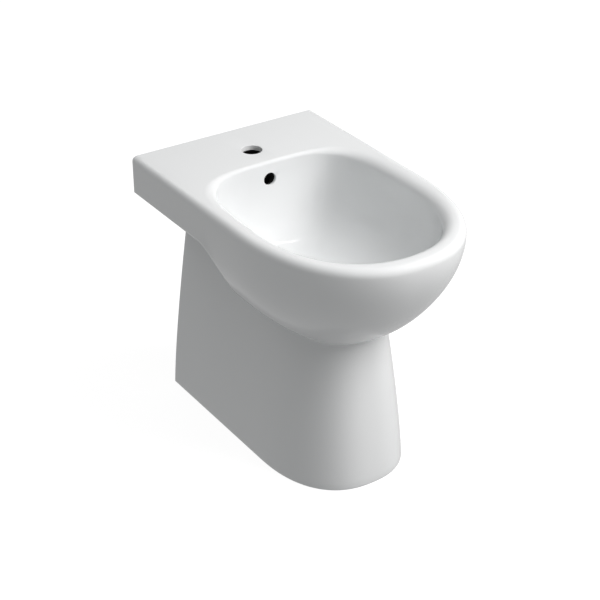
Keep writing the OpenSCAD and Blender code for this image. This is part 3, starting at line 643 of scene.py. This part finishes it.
def china_tools(size):
    """The boss, the overflow way and the rail that join the skin, and the tools that cut it."""
    s = size
    floor_z, recess_z, boss_z = waste_levels(s)
    wall_y, waste = s.depth / 2, (0, s.depth / 2 - s.waste_u, 0)
    boss = cylinder_mesh("boss", BOSS_R, boss_z, floor_z - 2 * PAST, waste, finish=UNGLAZED)
    shell = way_tools(s, "shell", WAY_SHELL_R, s.height - s.deck_t + PAST, WAY_END, UNGLAZED)
    behind = [[-s.width, wall_y], [s.width, wall_y], [s.width, wall_y + 0.05], [-s.width, wall_y + 0.05]]
    wall_cut = prism_mesh("wall_cut", behind, -PAST, s.height + PAST, UNGLAZED)
    r, a = s.corner_r, np.linspace(np.pi / 2, 0, 13)
    arc = np.stack([r * np.cos(a), r * np.sin(a)], 1)
    right = np.concatenate([arc, [[2 * r, 0], [2 * r, 2 * r], [0, 2 * r]]]) + [s.width / 2 - r, wall_y - r]
    corners = [prism_mesh("corner", plan, s.height - s.apron - PAST, s.height + PAST)
               for plan in (right, (right * [-1, 1])[::-1])]
    profile = hole_profile(s.tap_hole_r, s.height - s.deck_t - PAST, s.height, s.hole_edge / 2, s.tap_glaze)
    # painted shade: the bore below its glaze depth is near black, standing in for the shade in the hole, for
    # the tap hole and, reversed, for the overflow
    bore = np.array([PAINTED_SHADE] + [GLAZED] * (len(profile) - 4))
    tap = turned_mesh("tap_hole", profile, (0, wall_y - s.tap_u, 0), finish=bore)
    waste_hole = cylinder_mesh("waste_hole", WASTE_HOLE_R, boss_z - PAST, recess_z + PAST / 2, waste,
                               finish=UNGLAZED)
    recess = cylinder_mesh("recess", RECESS_R, recess_z, recess_z + RECESS_DEPTH, waste)
    # painted shade: the overflow way's walls are near black, standing in for the shade inside the way
    way = way_tools(s, "way", WAY_R, s.height - s.overflow_drop, WASTE_HOLE_R - TUBE_R, PAINTED_SHADE)
    profile = hole_profile(s.overflow_r, way_place(s), overflow_face(s), s.hole_edge, s.overflow_glaze)
    overflow = turned_mesh("overflow", (profile * [1, -1] + [0, wall_y])[::-1],
                           (0, 0, s.height - s.overflow_drop), "Y", finish=bore[::-1])
    return [boss, *shell, wall_rail(s)], [wall_cut, *corners, tap, waste_hole, recess, *way, overflow]


def wall_rail(size):
    """The turned-down rail under the deck's wall side, a prism that lies along the wall."""
    half, top = (size.width - size.wall) / 2, size.height - size.deck_t + PAST
    shoulder = size.height - size.apron + size.apron_r + PAST
    low, low_half, wall_y = size.height - size.rail_drop, size.rail_half_w, size.depth / 2
    plan = [[-half, top], [-half, shoulder], [-low_half, low], [low_half, low], [half, shoulder], [half, top]]
    # painted shade: the rail's inner face, the prism's upper end, gets the near-black finish that stands in for
    # the shade under the deck
    finish = [UNGLAZED] * (len(plan) + 1) + [PAINTED_SHADE]
    rail = prism_mesh("rail", plan, -wall_y - 4 * PAST, size.wall - wall_y, finish)
    return moved(rail, (0, 0, 0), math.pi / 2)


def overflow_face(size):
    """Distance from the wall of the bowl's surface at the overflow's height, on the middle line."""
    shape = ChinaShape(size, 2, 2, 2)
    x, u, z = shape.bowl(column(0, 1, 400), 0, shape.roll_depth())
    return float(np.interp(size.overflow_drop, size.height - z[:, 0], u[:, 0]))


# ---------------------------------------------------------------- fittings
SOCKET_OVER_SEAL = 0.0012   # how much wider the trap's sockets are than their seals
ROD_R, STUD_R = 0.003, 0.002
NECK = 0.005                # radius and length of the cartridge's neck


def fitting():
    """The fittings' sizes."""
    return bpy.context.scene.bidet_fitting


def span(node, axis="Z"):
    """The lowest and highest place of a node along an axis, and its radius across X."""
    low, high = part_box(node)
    along = "XYZ".index(axis)
    return low[along], high[along], (high.x - low.x) / 2


def centre(axis="Z"):
    """A point on the waste's upright axis, at the floor, or on the outlet's axis, which lies along Y."""
    low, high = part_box("waste_body" if axis == "Z" else "outlet_pipe")
    middle = (np.array(low) + np.array(high)) / 2
    return middle * [0, 1, 0] if axis == "Z" else middle * [0, 0, 1]


def step_up(low, high, value, soft):
    """1 between low and high, with edges soft wide, else 0."""
    return np.clip((value - low) / soft, 0, 1) * np.clip((high - value) / soft, 0, 1)


def ribs_form(count, width, height, low, high, past_r, soft=0.0008):
    """Grip ribs: adds height where the angle is within a rib and the point is outside past_r and
    between low and high, with edges soft wide."""
    def form(r, h, angle):
        off = np.abs((angle * count / (2 * np.pi) + 0.5) % 1 - 0.5) * 2 * np.pi / count
        across = ease(-0.5, 0.5, (width / 2 - off * past_r) / soft)
        return r + height * across * step_up(low, high, h, soft) * (r > past_r)
    return form


def thread_wave(pitch, h, angle):
    """A triangle wave of height / pitch - angle / turn, flattened at its roots and its crests."""
    phase = (h / pitch - angle / (2 * np.pi)) % 1
    return np.clip(1.25 * (1 - np.abs(2 * phase - 1)) - 0.125, 0, 1)


def thread_form(pitch, depth, low, high, past_r):
    """A thread: takes away up to depth along a helix of the pitch, fading in and out over one pitch
    at its ends."""
    def form(r, h, angle):
        return r - depth * thread_wave(pitch, h, angle) * step_up(low, high, h, pitch) * (r > past_r)
    return form


def hexagon_form(across_flats, low, high, past_r):
    """A hexagon whose corners are turned off at both ends: the radius is that of the flats, half
    the width over the cosine of the angle from the flat's middle, or a cone's if that is less."""
    half = across_flats / 2
    end_r, slope = half * 1.03, 1.9
    def form(r, h, angle):
        flat = half / np.cos(angle % (np.pi / 3) - np.pi / 6)
        cone = end_r + slope * np.minimum(h - low, high - h)
        return np.where(r > past_r, np.minimum(flat, cone), r + 0 * angle)
    return form


def nut_mesh(node, bore, lip_on_top, axis="Z"):
    """A plastic coupling nut: a lip round the pipe at one end, from there a threaded bore to the
    other, and twelve grip ribs outside."""
    f = fitting()
    low, high, outer = span(node, axis)
    outer, hole, rib_w, ends = outer - f.rib, f.pipe_r + f.fit, 0.004, 0.001
    section = np.array([[hole, low], [outer, low], [outer, high], [bore, high], [bore, low + f.lip],
                        [hole, low + f.lip]])
    if lip_on_top:
        section = (section * [1, -1] + [0, low + high])[::-1]
    grip = ribs_form(12, rib_w, f.rib, low + ends, high - ends, outer - f.fit)
    first, last = (low, high - f.lip) if lip_on_top else (low + f.lip, high)
    def form(r, h, angle):
        wave = thread_wave(f.pitch, h, angle) * step_up(first + ends, last - ends, h, f.pitch)
        return grip(r, h, angle) + f.thread * wave * (np.abs(r - bore) < f.fit / 2)
    return turned_mesh(node + "_moulded", refined(rounded(section, 2 * f.edge), 0.0006), centre(axis), axis,
                       240, form=form)


def nut_meshes():
    """The three moulded coupling nuts, by node."""
    f = fitting()
    socket = span("tube_seal")[2] + SOCKET_OVER_SEAL + f.fit
    return {"inlet_nut": nut_mesh("inlet_nut", f.tube_r + f.fit, False),
            "tube_nut": nut_mesh("tube_nut", socket, True),
            "outlet_nut": nut_mesh("outlet_nut", socket, True, "Y")}


def waste_mesh():
    """The waste: a threaded tube with a dished flange, a bridge of three bars with a hub for the
    mechanism, and four windows where the overflow comes in."""
    f = fitting()
    low, top, flange_r = span("waste_body")
    flange_t, flange_bevel, bevel_r, gasket_t = 0.003, 0.0015, 0.0009, 0.0015
    seat_in, seat_slope, seat_depth, throat = 0.004, 0.001, 0.0018, 0.0015
    thread_end, thread_head, in_wall = 0.0008, 0.008, 0.0002
    flange_z, bore = top - flange_t, f.tube_r - f.tube_wall
    seat_r, seat_z = span("plug_cap")[2] - seat_in, top - seat_depth
    section = [[bore, low], [f.tube_r, low], [f.tube_r, flange_z], [flange_r, flange_z],
               [flange_r, top - flange_bevel], [flange_r - flange_bevel, top], [seat_r, top],
               [seat_r - seat_slope, seat_z], [bore + throat, seat_z], [bore, seat_z - throat]]
    radius = np.full(len(section), f.edge)
    radius[[4, 5]] = bevel_r
    thread = thread_form(f.pitch, f.thread, low + thread_end, flange_z - thread_head, f.tube_r - in_wall)
    tube = turned_mesh("waste", refined(rounded(section, radius), 0.0004), turns=120, form=thread)
    bridge_drop, bar_t, bar_half, hub_r = 0.022, 0.005, 0.0025, 0.0075
    bridge_z, reach = flange_z - bridge_drop, bore + PAST
    bar = [[-reach, -bar_half], [reach, -bar_half], [reach, bar_half], [-reach, bar_half]]
    bars = [moved(prism_mesh("bar", bar, bridge_z - bar_t, bridge_z), (0, 0, 0), turn_z=turn)
            for turn in np.radians([0, 60, 120])]
    hub = cylinder_mesh("hub", hub_r, bridge_z - bar_t - PAST / 5, bridge_z + PAST / 5, turns=64)
    hole = cylinder_mesh("hole", NECK, bridge_z - bar_t - PAST, bridge_z + PAST, turns=64)
    half, tall, window_r, window_rise = 0.007, 0.012, 0.005, 0.006
    plan = rounded([[-half, 0], [half, 0], [half, tall], [-half, tall]], window_r, 6)
    window_z = flange_z - gasket_t - WASTE_HOLE_LENGTH + window_rise
    windows = [moved(prism_mesh("window", plan, -0.03, 0.03), (0, 0, window_z), math.pi / 2, turn)
               for turn in (0, math.pi / 2)]
    return moved(cut_and_joined(tube, [*bars, hub], [hole, *windows]), centre())


def back_nut_mesh():
    """The brass nut: a hexagon with its corners turned off at both ends, and a plain bore."""
    f = fitting()
    low, high, corner_r = span("back_nut")
    front, back = span("back_nut", "Y")[:2]
    flats, bore = min(back - front, 2 * corner_r), f.tube_r + f.fit
    section = rounded([[bore, low], [flats / 2, low], [flats / 2, high], [bore, high]], 0.0002, fixed=(1, 2))
    return turned_mesh("hexagon_nut", refined(section, 0.0005), centre(), turns=288,
                       form=hexagon_form(flats, low, high, flats / 2 - f.fit))


def cap_mesh():
    """The plug's cap: a shallow dome of constant curvature with a rolled edge over a flat
    underside, and a boss that takes the plunger's stud."""
    low, top, r = span("plug_cap")
    cap_t, edge, boss_h, boss_r, bore = 0.0022, 0.0006, 0.007, ROD_R + 0.003, STUD_R + fitting().fit
    under = low + boss_h
    crown = top - under - cap_t
    dome_r = (r * r + crown * crown) / (2 * crown)
    a = np.linspace(math.asin((r - edge) / dome_r), 0, 25)
    dome = np.stack([dome_r * np.sin(a), top - dome_r * (1 - np.cos(a))], 1)
    boss = rounded([[0, under], [bore, under], [bore, low], [boss_r, low], [boss_r, under], [r, under],
                    [r, under + cap_t], dome[0]], edge, 5, fixed=(0, 7))
    return turned_mesh("cap", np.concatenate([boss[:-1], dome]), centre(), turns=128)


def cartridge_mesh():
    """The click mechanism's housing: a cylinder with a plain neck, hollow above its floor."""
    f = fitting()
    low, top, r = span("click_cartridge")
    wall, roof_t, floor_t, slide_gap = 0.0016, 0.003, 0.002, 0.00008
    shoulder, roof, floor = top - NECK, top - NECK - roof_t, low + floor_t
    bore, rod_bore, neck = r - wall, ROD_R + slide_gap, NECK - f.fit
    section = rounded([[0, low], [r, low], [r, shoulder], [neck, shoulder], [neck, top], [rod_bore, top],
                       [rod_bore, roof], [bore, roof], [bore, floor], [0, floor]], f.edge, 4, fixed=(0, 9))
    return turned_mesh("cartridge", section, centre())


def plunger_mesh():
    """The plunger: a piston head, a rod and the stud that the cap is screwed on."""
    low, top, r = span("click_plunger")
    head_t, cap_low = 0.005, span("plug_cap")[0]
    head = low + head_t
    section = rounded([[0, low], [r, low], [r, head], [ROD_R, head], [ROD_R, cap_low], [STUD_R, cap_low],
                       [STUD_R, top], [0, top]], fitting().edge, 4, fixed=(0, 7))
    return turned_mesh("plunger", section, centre(), turns=64)


def dip_tube_mesh():
    """The dip tube: a plain pipe with a flat collar at its top."""
    f = fitting()
    low, top, collar_r = span("inlet_tube")
    collar_t = 0.002
    bore, collar = f.pipe_r - f.pipe_wall, top - collar_t
    section = rounded([[bore, low], [f.pipe_r, low], [f.pipe_r, collar], [collar_r, collar], [collar_r, top],
                       [bore, top]], f.edge)
    return turned_mesh("dip_tube", section, centre())


def outlet_pipe_mesh():
    """The outlet pipe: a plain pipe with a bead that stops it at its nut."""
    f = fitting()
    low, high, bead_r = span("outlet_pipe", "Y")
    past_socket, bead_w, bead_edge, foot_edge, end_edge = 0.009, 0.003, 0.0014, 0.0008, 0.0001
    bore, bead = f.pipe_r - f.pipe_wall, span("trap_body", "Y")[1] + past_socket
    bead_end = bead + bead_w
    section = rounded([[bore, low], [f.pipe_r, low], [f.pipe_r, bead], [bead_r, bead], [bead_r, bead_end],
                       [f.pipe_r, bead_end], [f.pipe_r, high], [bore, high]],
                      [f.edge, f.edge, foot_edge, bead_edge, bead_edge, foot_edge, end_edge, end_edge], 6)
    return turned_mesh("outlet", section, centre("Y"), "Y")


def trap_mesh():
    """The trap's body: a bottle with round shoulders, an inlet socket on top and an outlet socket to
    the wall, bored out."""
    f = fitting()
    low, top = span("trap_body")[:2]
    face, waste, outlet = span("trap_body", "Y")[1], centre(), centre("Y")
    socket_h, shoulder_r, socket_foot_r, hollow_r, pipe_in, mouth_up = 0.013, 0.006, 0.002, 0.004, 0.0165, 0.02
    shoulder, middle, over = top - socket_h, waste[1], PAST / 2
    socket_r = span("tube_seal")[2] + SOCKET_OVER_SEAL
    bore, socket_bore, bottle_bore = f.pipe_r - f.pipe_wall, f.pipe_r + f.fit, f.bottle_r - f.trap_wall
    outside = rounded([[0, low], [f.bottle_r, low], [f.bottle_r, shoulder], [socket_r, shoulder],
                       [socket_r, top], [0, top]],
                      [0, f.edge, shoulder_r, socket_foot_r, f.edge, 0], 8, fixed=(0, 5))
    branch = rounded([[0, middle], [socket_r, middle], [socket_r, face], [0, face]], f.edge, fixed=(0, 1, 3))
    hollow = rounded([[0, low - over], [bottle_bore, low - over], [bottle_bore, shoulder - f.trap_wall],
                      [0, shoulder - f.trap_wall]], hollow_r, 6, fixed=(0, 1, 3))
    return cut_and_joined(
        turned_mesh("bottle", outside, waste, turns=128),
        [turned_mesh("branch", branch, outlet, "Y")],
        [turned_mesh("hollow", hollow, waste, turns=128),
         cylinder_mesh("mouth", socket_bore, low + mouth_up, top + over, waste),
         cylinder_mesh("way", bore, middle, face + over, outlet, "Y"),
         cylinder_mesh("seat", socket_bore, face - pipe_in, face + over, outlet, "Y")])


def cup_mesh():
    """The trap's screw cup: a round-bottomed cup with ten grip ribs and a plain collar."""
    f = fitting()
    low, top, cup_r = span("trap_cup")
    ledge = span("cup_seal")[0]
    collar_h, foot_r, collar_r, lip_r, ledge_r, floor_r = 0.003, 0.005, 0.001, 0.0005, 0.0003, 0.003
    rib_w, rib_foot, in_wall, step = 0.004, 0.004, 0.0012, 0.001
    collar, floor = ledge - collar_h, low + f.trap_wall
    bore, socket = f.bottle_r - f.trap_wall, f.bottle_r + f.fit
    section = rounded([[0, low], [f.bottle_r, low], [f.bottle_r, collar], [cup_r, collar], [cup_r, top],
                       [socket, top], [socket, ledge], [bore, ledge], [bore, floor], [0, floor]],
                      [0, foot_r, collar_r, collar_r, collar_r, lip_r, ledge_r, ledge_r, floor_r, 0], 6,
                      fixed=(0, 9))
    grip = ribs_form(10, rib_w, cup_r - f.bottle_r, low + rib_foot, ledge, f.bottle_r - in_wall)
    return turned_mesh("cup", refined(section, step)[:-1], centre(), turns=360,
                       form=lambda r, h, angle: np.minimum(grip(r, h, angle), np.maximum(r, cup_r)))


def ring_mesh(node, inner, top_r=None, axis="Z"):
    """A flat ring with soft edges; top_r gives it a sloping outside."""
    low, high, outer = span(node, axis)
    section = rounded([[inner, low], [outer, low], [top_r or outer, high], [inner, high]], fitting().edge)
    return turned_mesh(node + "_ring", section, centre(axis), axis)


def seal_meshes():
    """The gaskets, seals and the washer, by node."""
    f = fitting()
    on_tube, on_pipe = f.tube_r + f.fit, f.pipe_r + f.fit
    rings = (("flange_gasket", on_tube), ("slip_washer", on_tube), ("cone_gasket", on_tube, 0.028),
             ("inlet_seal", f.pipe_r - f.pipe_wall), ("tube_seal", on_pipe),
             ("cup_seal", f.bottle_r - f.trap_wall), ("outlet_seal", on_pipe, None, "Y"))
    return {ring[0]: ring_mesh(*ring) for ring in rings}


# ---------------------------------------------------------------- finishes
CHINA_FINISHES = ("glazed_china", "biscuit_china", "raw_slip")     # in the order of the finish numbers
FINISHES = {
    # colour, shade, roughness and its drift, scales of drift and grain, bump and its height in
    # metres, metal, specular level
    "glazed_china": ("glaze", 0.985, 0.07, 0.06, 9, 260, 0.06, 0.0004, 0, 0.5),
    "biscuit_china": ("biscuit", 0.82, 0.72, 0.15, 22, 1500, 0.35, 0.0006, 0, 0.3),
    # painted shade: near black china that stands in for the shade inside the holes, the overflow way and behind
    # the rail
    "raw_slip": ("slip", 0.7, 0.85, 0.1, 30, 1500, 0.35, 0.0006, 0, 0.1),
    "chrome_plate": ("chrome", 0.95, 0.06, 0.07, 40, 900, 0.04, 0.0002, 1, 0.5),
    "turned_brass": ("brass", 0.78, 0.28, 0.16, 60, 1400, 0.12, 0.0003, 1, 0.5),
    "drawn_steel": ("steel", 0.86, 0.24, 0.14, 80, 1600, 0.10, 0.0002, 1, 0.5),
    "seal_rubber": ("rubber", 1.6, 0.62, 0.16, 90, 2400, 0.25, 0.0003, 0, 0.4),
    "moulded_plastic": ("plastic", 0.95, 0.30, 0.12, 30, 1800, 0.12, 0.0002, 0, 0.5),
}


def mottle_group():
    """Soft unevenness that every finish has: a colour that drifts, a roughness that drifts and a
    fine height, from two scales of noise in object coordinates."""
    name = "finish_mottle"
    if name in bpy.data.node_groups:
        return bpy.data.node_groups[name]
    group = bpy.data.node_groups.new(name, "ShaderNodeTree")
    for socket, default in (("Colour", (0.8, 0.8, 0.8, 1)), ("Shade", (0.7, 0.7, 0.7, 1)),
                            ("Drift Scale", 12.0), ("Grain Scale", 600.0), ("Roughness", 0.2),
                            ("Roughness Drift", 0.05)):
        kind = "NodeSocketFloat" if isinstance(default, float) else "NodeSocketColor"
        group.interface.new_socket(socket, in_out="INPUT", socket_type=kind).default_value = default
    for socket, kind in (("Colour", "Color"), ("Roughness", "Float"), ("Height", "Float")):
        group.interface.new_socket(socket, in_out="OUTPUT", socket_type="NodeSocket" + kind)
    nodes, link = group.nodes, group.links.new
    given, result = nodes.new("NodeGroupInput"), nodes.new("NodeGroupOutput")
    place = nodes.new("ShaderNodeTexCoord")
    drift, grain = nodes.new("ShaderNodeTexNoise"), nodes.new("ShaderNodeTexNoise")
    for noise, scale, detail in ((drift, "Drift Scale", 3), (grain, "Grain Scale", 2)):
        noise.inputs["Detail"].default_value = detail
        link(place.outputs["Object"], noise.inputs["Vector"])
        link(given.outputs[scale], noise.inputs["Scale"])
    blend = nodes.new("ShaderNodeMix")
    blend.data_type = "RGBA"
    sway = nodes.new("ShaderNodeMath")
    sway.operation = "MULTIPLY_ADD"
    for source, socket in (
            (drift.outputs["Fac"], blend.inputs["Factor"]), (given.outputs["Colour"], blend.inputs["A"]),
            (given.outputs["Shade"], blend.inputs["B"]), (drift.outputs["Fac"], sway.inputs[0]),
            (given.outputs["Roughness Drift"], sway.inputs[1]), (given.outputs["Roughness"], sway.inputs[2]),
            (blend.outputs["Result"], result.inputs["Colour"]), (sway.outputs[0], result.inputs["Roughness"]),
            (grain.outputs["Fac"], result.inputs["Height"])):
        link(source, socket)
    return group


def finish_material(name, colour, shade, roughness, sway, drift, grain, bump, height, metal, specular):
    """A material: the mottle group feeds the colour, the roughness and a fine bump. The shade is
    the colour scaled by a factor."""
    material = bpy.data.materials.new(name)
    material.use_nodes = True
    nodes, link = material.node_tree.nodes, material.node_tree.links.new
    shader, mottle, relief = nodes["Principled BSDF"], nodes.new("ShaderNodeGroup"), nodes.new("ShaderNodeBump")
    mottle.node_tree = mottle_group()
    base, dark = (*colour, 1), (*(min(1.0, c * shade) for c in colour), 1)
    for node, values in (
            (mottle, {"Colour": base, "Shade": dark, "Drift Scale": drift, "Grain Scale": grain,
                      "Roughness": roughness, "Roughness Drift": sway}),
            (relief, {"Strength": bump, "Distance": height}),
            (shader, {"Metallic": metal, "Coat Weight": 0, "Specular IOR Level": specular})):
        for socket, value in values.items():
            node.inputs[socket].default_value = value
    link(mottle.outputs["Colour"], shader.inputs["Base Color"])
    link(mottle.outputs["Roughness"], shader.inputs["Roughness"])
    link(mottle.outputs["Height"], relief.inputs["Height"])
    link(relief.outputs["Normal"], shader.inputs["Normal"])
    material.diffuse_color = base
    return material


def finishes():
    """All materials by their names, made once."""
    made = {name: bpy.data.materials.get(name) for name in FINISHES}
    for name, (colour, *values) in FINISHES.items():
        if made[name] is None:
            made[name] = finish_material(name, tuple(getattr(bpy.context.scene.bidet_finish, colour)), *values)
    return made


# ---------------------------------------------------------------- operators
class BIDET_OT_china(bpy.types.Operator):
    """Make the china body, with its tap hole, overflow, overflow way and waste hole"""
    bl_idname = "bidet.china"
    bl_label = "China Body"

    def execute(self, context):
        size = context.scene.bidet_china
        mesh = cut_and_joined(china_skin(size), *china_tools(size))
        mesh.name = "china_body"
        piece = put_piece("china_body", mesh, BIDET, [finishes()[name] for name in CHINA_FINISHES], 34)
        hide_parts("ceramic_body")
        return {"FINISHED"}


def dress(node, mesh, body, finish, sharp=38):
    """Puts a piece in the place of a node."""
    piece = put_piece(node + "_piece", mesh, body, [finishes()[finish]], sharp)
    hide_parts(node)


class BIDET_OT_waste(bpy.types.Operator):
    """Make the waste with its back nut, and the plug with its click mechanism"""
    bl_idname = "bidet.waste"
    bl_label = "Waste and Plug"

    def execute(self, context):
        dress("waste_body", waste_mesh(), BIDET, "chrome_plate")
        dress("back_nut", back_nut_mesh(), BIDET, "turned_brass", 25)
        dress("click_cartridge", cartridge_mesh(), BIDET, "turned_brass")
        dress("click_plunger", plunger_mesh(), PLUG, "drawn_steel")
        dress("plug_cap", cap_mesh(), PLUG, "chrome_plate")
        dress("plug_seal", ring_mesh("plug_seal", TUBE_R), PLUG, "seal_rubber")
        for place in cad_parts["click_spring"].material_slots:
            place.material = finishes()["drawn_steel"]
        return {"FINISHED"}


class BIDET_OT_trap(bpy.types.Operator):
    """Make the bottle trap with its cup, its nuts and its pipes"""
    bl_idname = "bidet.trap"
    bl_label = "Bottle Trap"

    def execute(self, context):
        plastic = {"trap_body": trap_mesh(), "trap_cup": cup_mesh(), "inlet_tube": dip_tube_mesh(),
                   "outlet_pipe": outlet_pipe_mesh(), **nut_meshes()}
        for node, mesh in plastic.items():
            dress(node, mesh, BIDET, "moulded_plastic")
        return {"FINISHED"}


class BIDET_OT_seals(bpy.types.Operator):
    """Make the gaskets, the seals and the slip washer"""
    bl_idname = "bidet.seals"
    bl_label = "Seals"

    def execute(self, context):
        for node, mesh in seal_meshes().items():
            made_of = "plastic" if node == "slip_washer" else "rubber"
            dress(node, mesh, BIDET, "moulded_plastic" if made_of == "plastic" else "seal_rubber")
        return {"FINISHED"}


class BIDET_OT_studio(bpy.types.Operator):
    """Set the floor, the surroundings, the soft light and the camera"""
    bl_idname = "bidet.studio"
    bl_label = "Studio"

    def execute(self, context):
        studio = context.scene.bidet_studio
        add_floor(studio)
        add_surroundings(studio)
        add_lights(studio)
        add_camera(studio)
        context.scene.view_settings.view_transform = "Standard"
        return {"FINISHED"}


def by_ray(nodes, link, to_eye, mirrored, lit):
    """A strength of to_eye for rays of the camera and through glass, mirrored for reflections and
    lit, a number or a socket, for the light that falls on the object. Also gives the eye's share."""
    path = nodes.new("ShaderNodeLightPath")
    eye = nodes.new("ShaderNodeMath")
    eye.operation = "MAXIMUM"
    link(path.outputs["Is Camera Ray"], eye.inputs[0])
    link(path.outputs["Is Transmission Ray"], eye.inputs[1])
    strength = lit
    for share_of, value in ((path.outputs["Is Glossy Ray"], mirrored), (eye.outputs[0], to_eye)):
        choice = nodes.new("ShaderNodeMix")
        choice.data_type = "FLOAT"
        link(share_of, choice.inputs["Factor"])
        if isinstance(strength, float):
            choice.inputs["A"].default_value = strength
        else:
            link(strength, choice.inputs["A"])
        choice.inputs["B"].default_value = value
        strength = choice.outputs["Result"]
    return strength, eye.outputs[0]


def add_floor(studio):
    """A round pale floor that reads as white, keeps the object's soft shadow and lights the object
    at the floor light's level. It is clear from below."""
    corners, radius, under = 128, 7.0, 0.0002
    around = np.linspace(0, 2 * np.pi, corners, endpoint=False)
    edge = np.stack([radius * np.cos(around), radius * np.sin(around), np.full(corners, -under)], 1)
    floor = bpy.data.objects.new("floor", put_mesh("floor", edge, [np.arange(corners)[None]]))
    bpy.context.scene.collection.objects.link(floor)
    material = bpy.data.materials.new("pale_floor")
    material.use_nodes = True
    nodes, link = material.node_tree.nodes, material.node_tree.links.new
    nodes.remove(nodes["Principled BSDF"])
    paper = nodes.new("ShaderNodeBsdfDiffuse")
    paper.inputs["Color"].default_value = (0.22, 0.22, 0.22, 1)
    glow = nodes.new("ShaderNodeEmission")
    strength, eye = by_ray(nodes, link, studio.floor_white, studio.mirror_floor, studio.floor_light)
    link(strength, glow.inputs["Strength"])
    both = nodes.new("ShaderNodeAddShader")
    choice = nodes.new("ShaderNodeMixShader")
    link(paper.outputs[0], both.inputs[0])
    link(glow.outputs[0], both.inputs[1])
    link(eye, choice.inputs[0])
    link(glow.outputs[0], choice.inputs[1])
    link(both.outputs[0], choice.inputs[2])
    clear = nodes.new("ShaderNodeMixShader")
    link(nodes.new("ShaderNodeNewGeometry").outputs["Backfacing"], clear.inputs[0])
    link(choice.outputs[0], clear.inputs[1])
    link(nodes.new("ShaderNodeBsdfTransparent").outputs[0], clear.inputs[2])
    link(clear.outputs[0], nodes["Material Output"].inputs["Surface"])
    floor.data.materials.append(material)


def add_surroundings(studio):
    """A world that is white to the eye and lights the object by height: the low light below the
    horizon, the side light just above it, the high light further up and the top light overhead."""
    world = bpy.data.worlds.new("surroundings")
    bpy.context.scene.world = world
    world.use_nodes = True
    nodes, link = world.node_tree.nodes, world.node_tree.links.new
    sky = nodes["Background"]
    way = nodes.new("ShaderNodeTexCoord")
    parts = nodes.new("ShaderNodeSeparateXYZ")
    link(way.outputs["Generated"], parts.inputs[0])
    grade = nodes.new("ShaderNodeValToRGB")
    link(parts.outputs["Z"], grade.inputs["Fac"])
    low, side = grade.color_ramp.elements
    low.position, side.position = 0.0, 0.03
    low.color = (*[studio.low_light] * 3, 1)
    side.color = (*[studio.side_light] * 3, 1)
    for place, strength in ((0.20, studio.side_light), (0.30, studio.high_light), (0.62, studio.high_light),
                            (0.80, studio.top_light)):
        grade.color_ramp.elements.new(place).color = (*[strength] * 3, 1)
    strength = by_ray(nodes, link, 1.0, studio.mirror_light, grade.outputs["Color"])[0]
    link(strength, sky.inputs["Strength"])
    sky.inputs["Color"].default_value = (1, 1, 1, 1)


def add_light(name, way, size, power, mirrored):
    """A soft panel three metres out in a direction, which the glaze mirrors or not."""
    middle, way, distance = Vector((0, 0, 0.3)), Vector(way).normalized(), 3.0
    light = bpy.data.lights.new(name, "AREA")
    light.shape = "RECTANGLE"
    light.size, light.size_y = size
    light.energy = power
    light.color = (1.0, 0.98, 0.973)
    lamp = bpy.data.objects.new(name, light)
    lamp.location = middle + way * distance
    lamp.rotation_mode = "QUATERNION"
    lamp.rotation_quaternion = (-way).to_track_quat("-Z", "Y")
    lamp.visible_glossy = mirrored
    bpy.context.scene.collection.objects.link(lamp)


def add_lights(studio):
    """The soft key to the right, in front and above, and a narrow glint overhead."""
    add_light("key_light", (0.50, -0.56, 0.66), (studio.key_size, studio.key_size), studio.key_power, False)
    add_light("glint_light", (0.44, -0.21, 0.87), (0.06, 0.9), studio.glint_power, True)


def add_camera(studio):
    """The photograph's viewpoint: from the front left and above, with a long lens."""
    camera = bpy.data.cameras.new("camera")
    camera.lens = studio.lens
    camera.sensor_width = 36
    seen_from = bpy.data.objects.new("camera", camera)
    seen_from.location = (-1.2490, -1.8216, 1.5481)
    seen_from.rotation_mode = "QUATERNION"
    seen_from.rotation_quaternion = Vector((0.4807, 0.7192, -0.5017)).to_track_quat("-Z", "Y")
    bpy.context.scene.collection.objects.link(seen_from)
    bpy.context.scene.camera = seen_from


class BIDET_PT_panel(bpy.types.Panel):
    """The builder's steps and settings, in the 3D view's sidebar"""
    bl_idname = "BIDET_PT_panel"
    bl_label = "Floor Standing Bidet"
    bl_space_type = "VIEW_3D"
    bl_region_type = "UI"
    bl_category = "Bidet"

    def draw(self, context):
        for step in STEPS:
            self.layout.operator(step.bl_idname)
        for name, group in SETTINGS.items():
            box = self.layout.box()
            for setting in group.__annotations__:
                box.prop(getattr(context.scene, name), setting)


STEPS = (BIDET_OT_china, BIDET_OT_waste, BIDET_OT_trap, BIDET_OT_seals, BIDET_OT_studio)
CLASSES = (*SETTINGS.values(), *STEPS, BIDET_PT_panel)


def register():
    for made in CLASSES:
        bpy.utils.register_class(made)
    for name, group in SETTINGS.items():
        setattr(bpy.types.Scene, name, bpy.props.PointerProperty(type=group))


def unregister():
    for name in SETTINGS:
        delattr(bpy.types.Scene, name)
    for made in reversed(CLASSES):
        bpy.utils.unregister_class(made)


def main():
    register()
    bpy.ops.bidet.china()
    bpy.ops.bidet.waste()
    bpy.ops.bidet.trap()
    bpy.ops.bidet.seals()
    bpy.ops.bidet.studio()


if __name__ == "__main__":
    main()
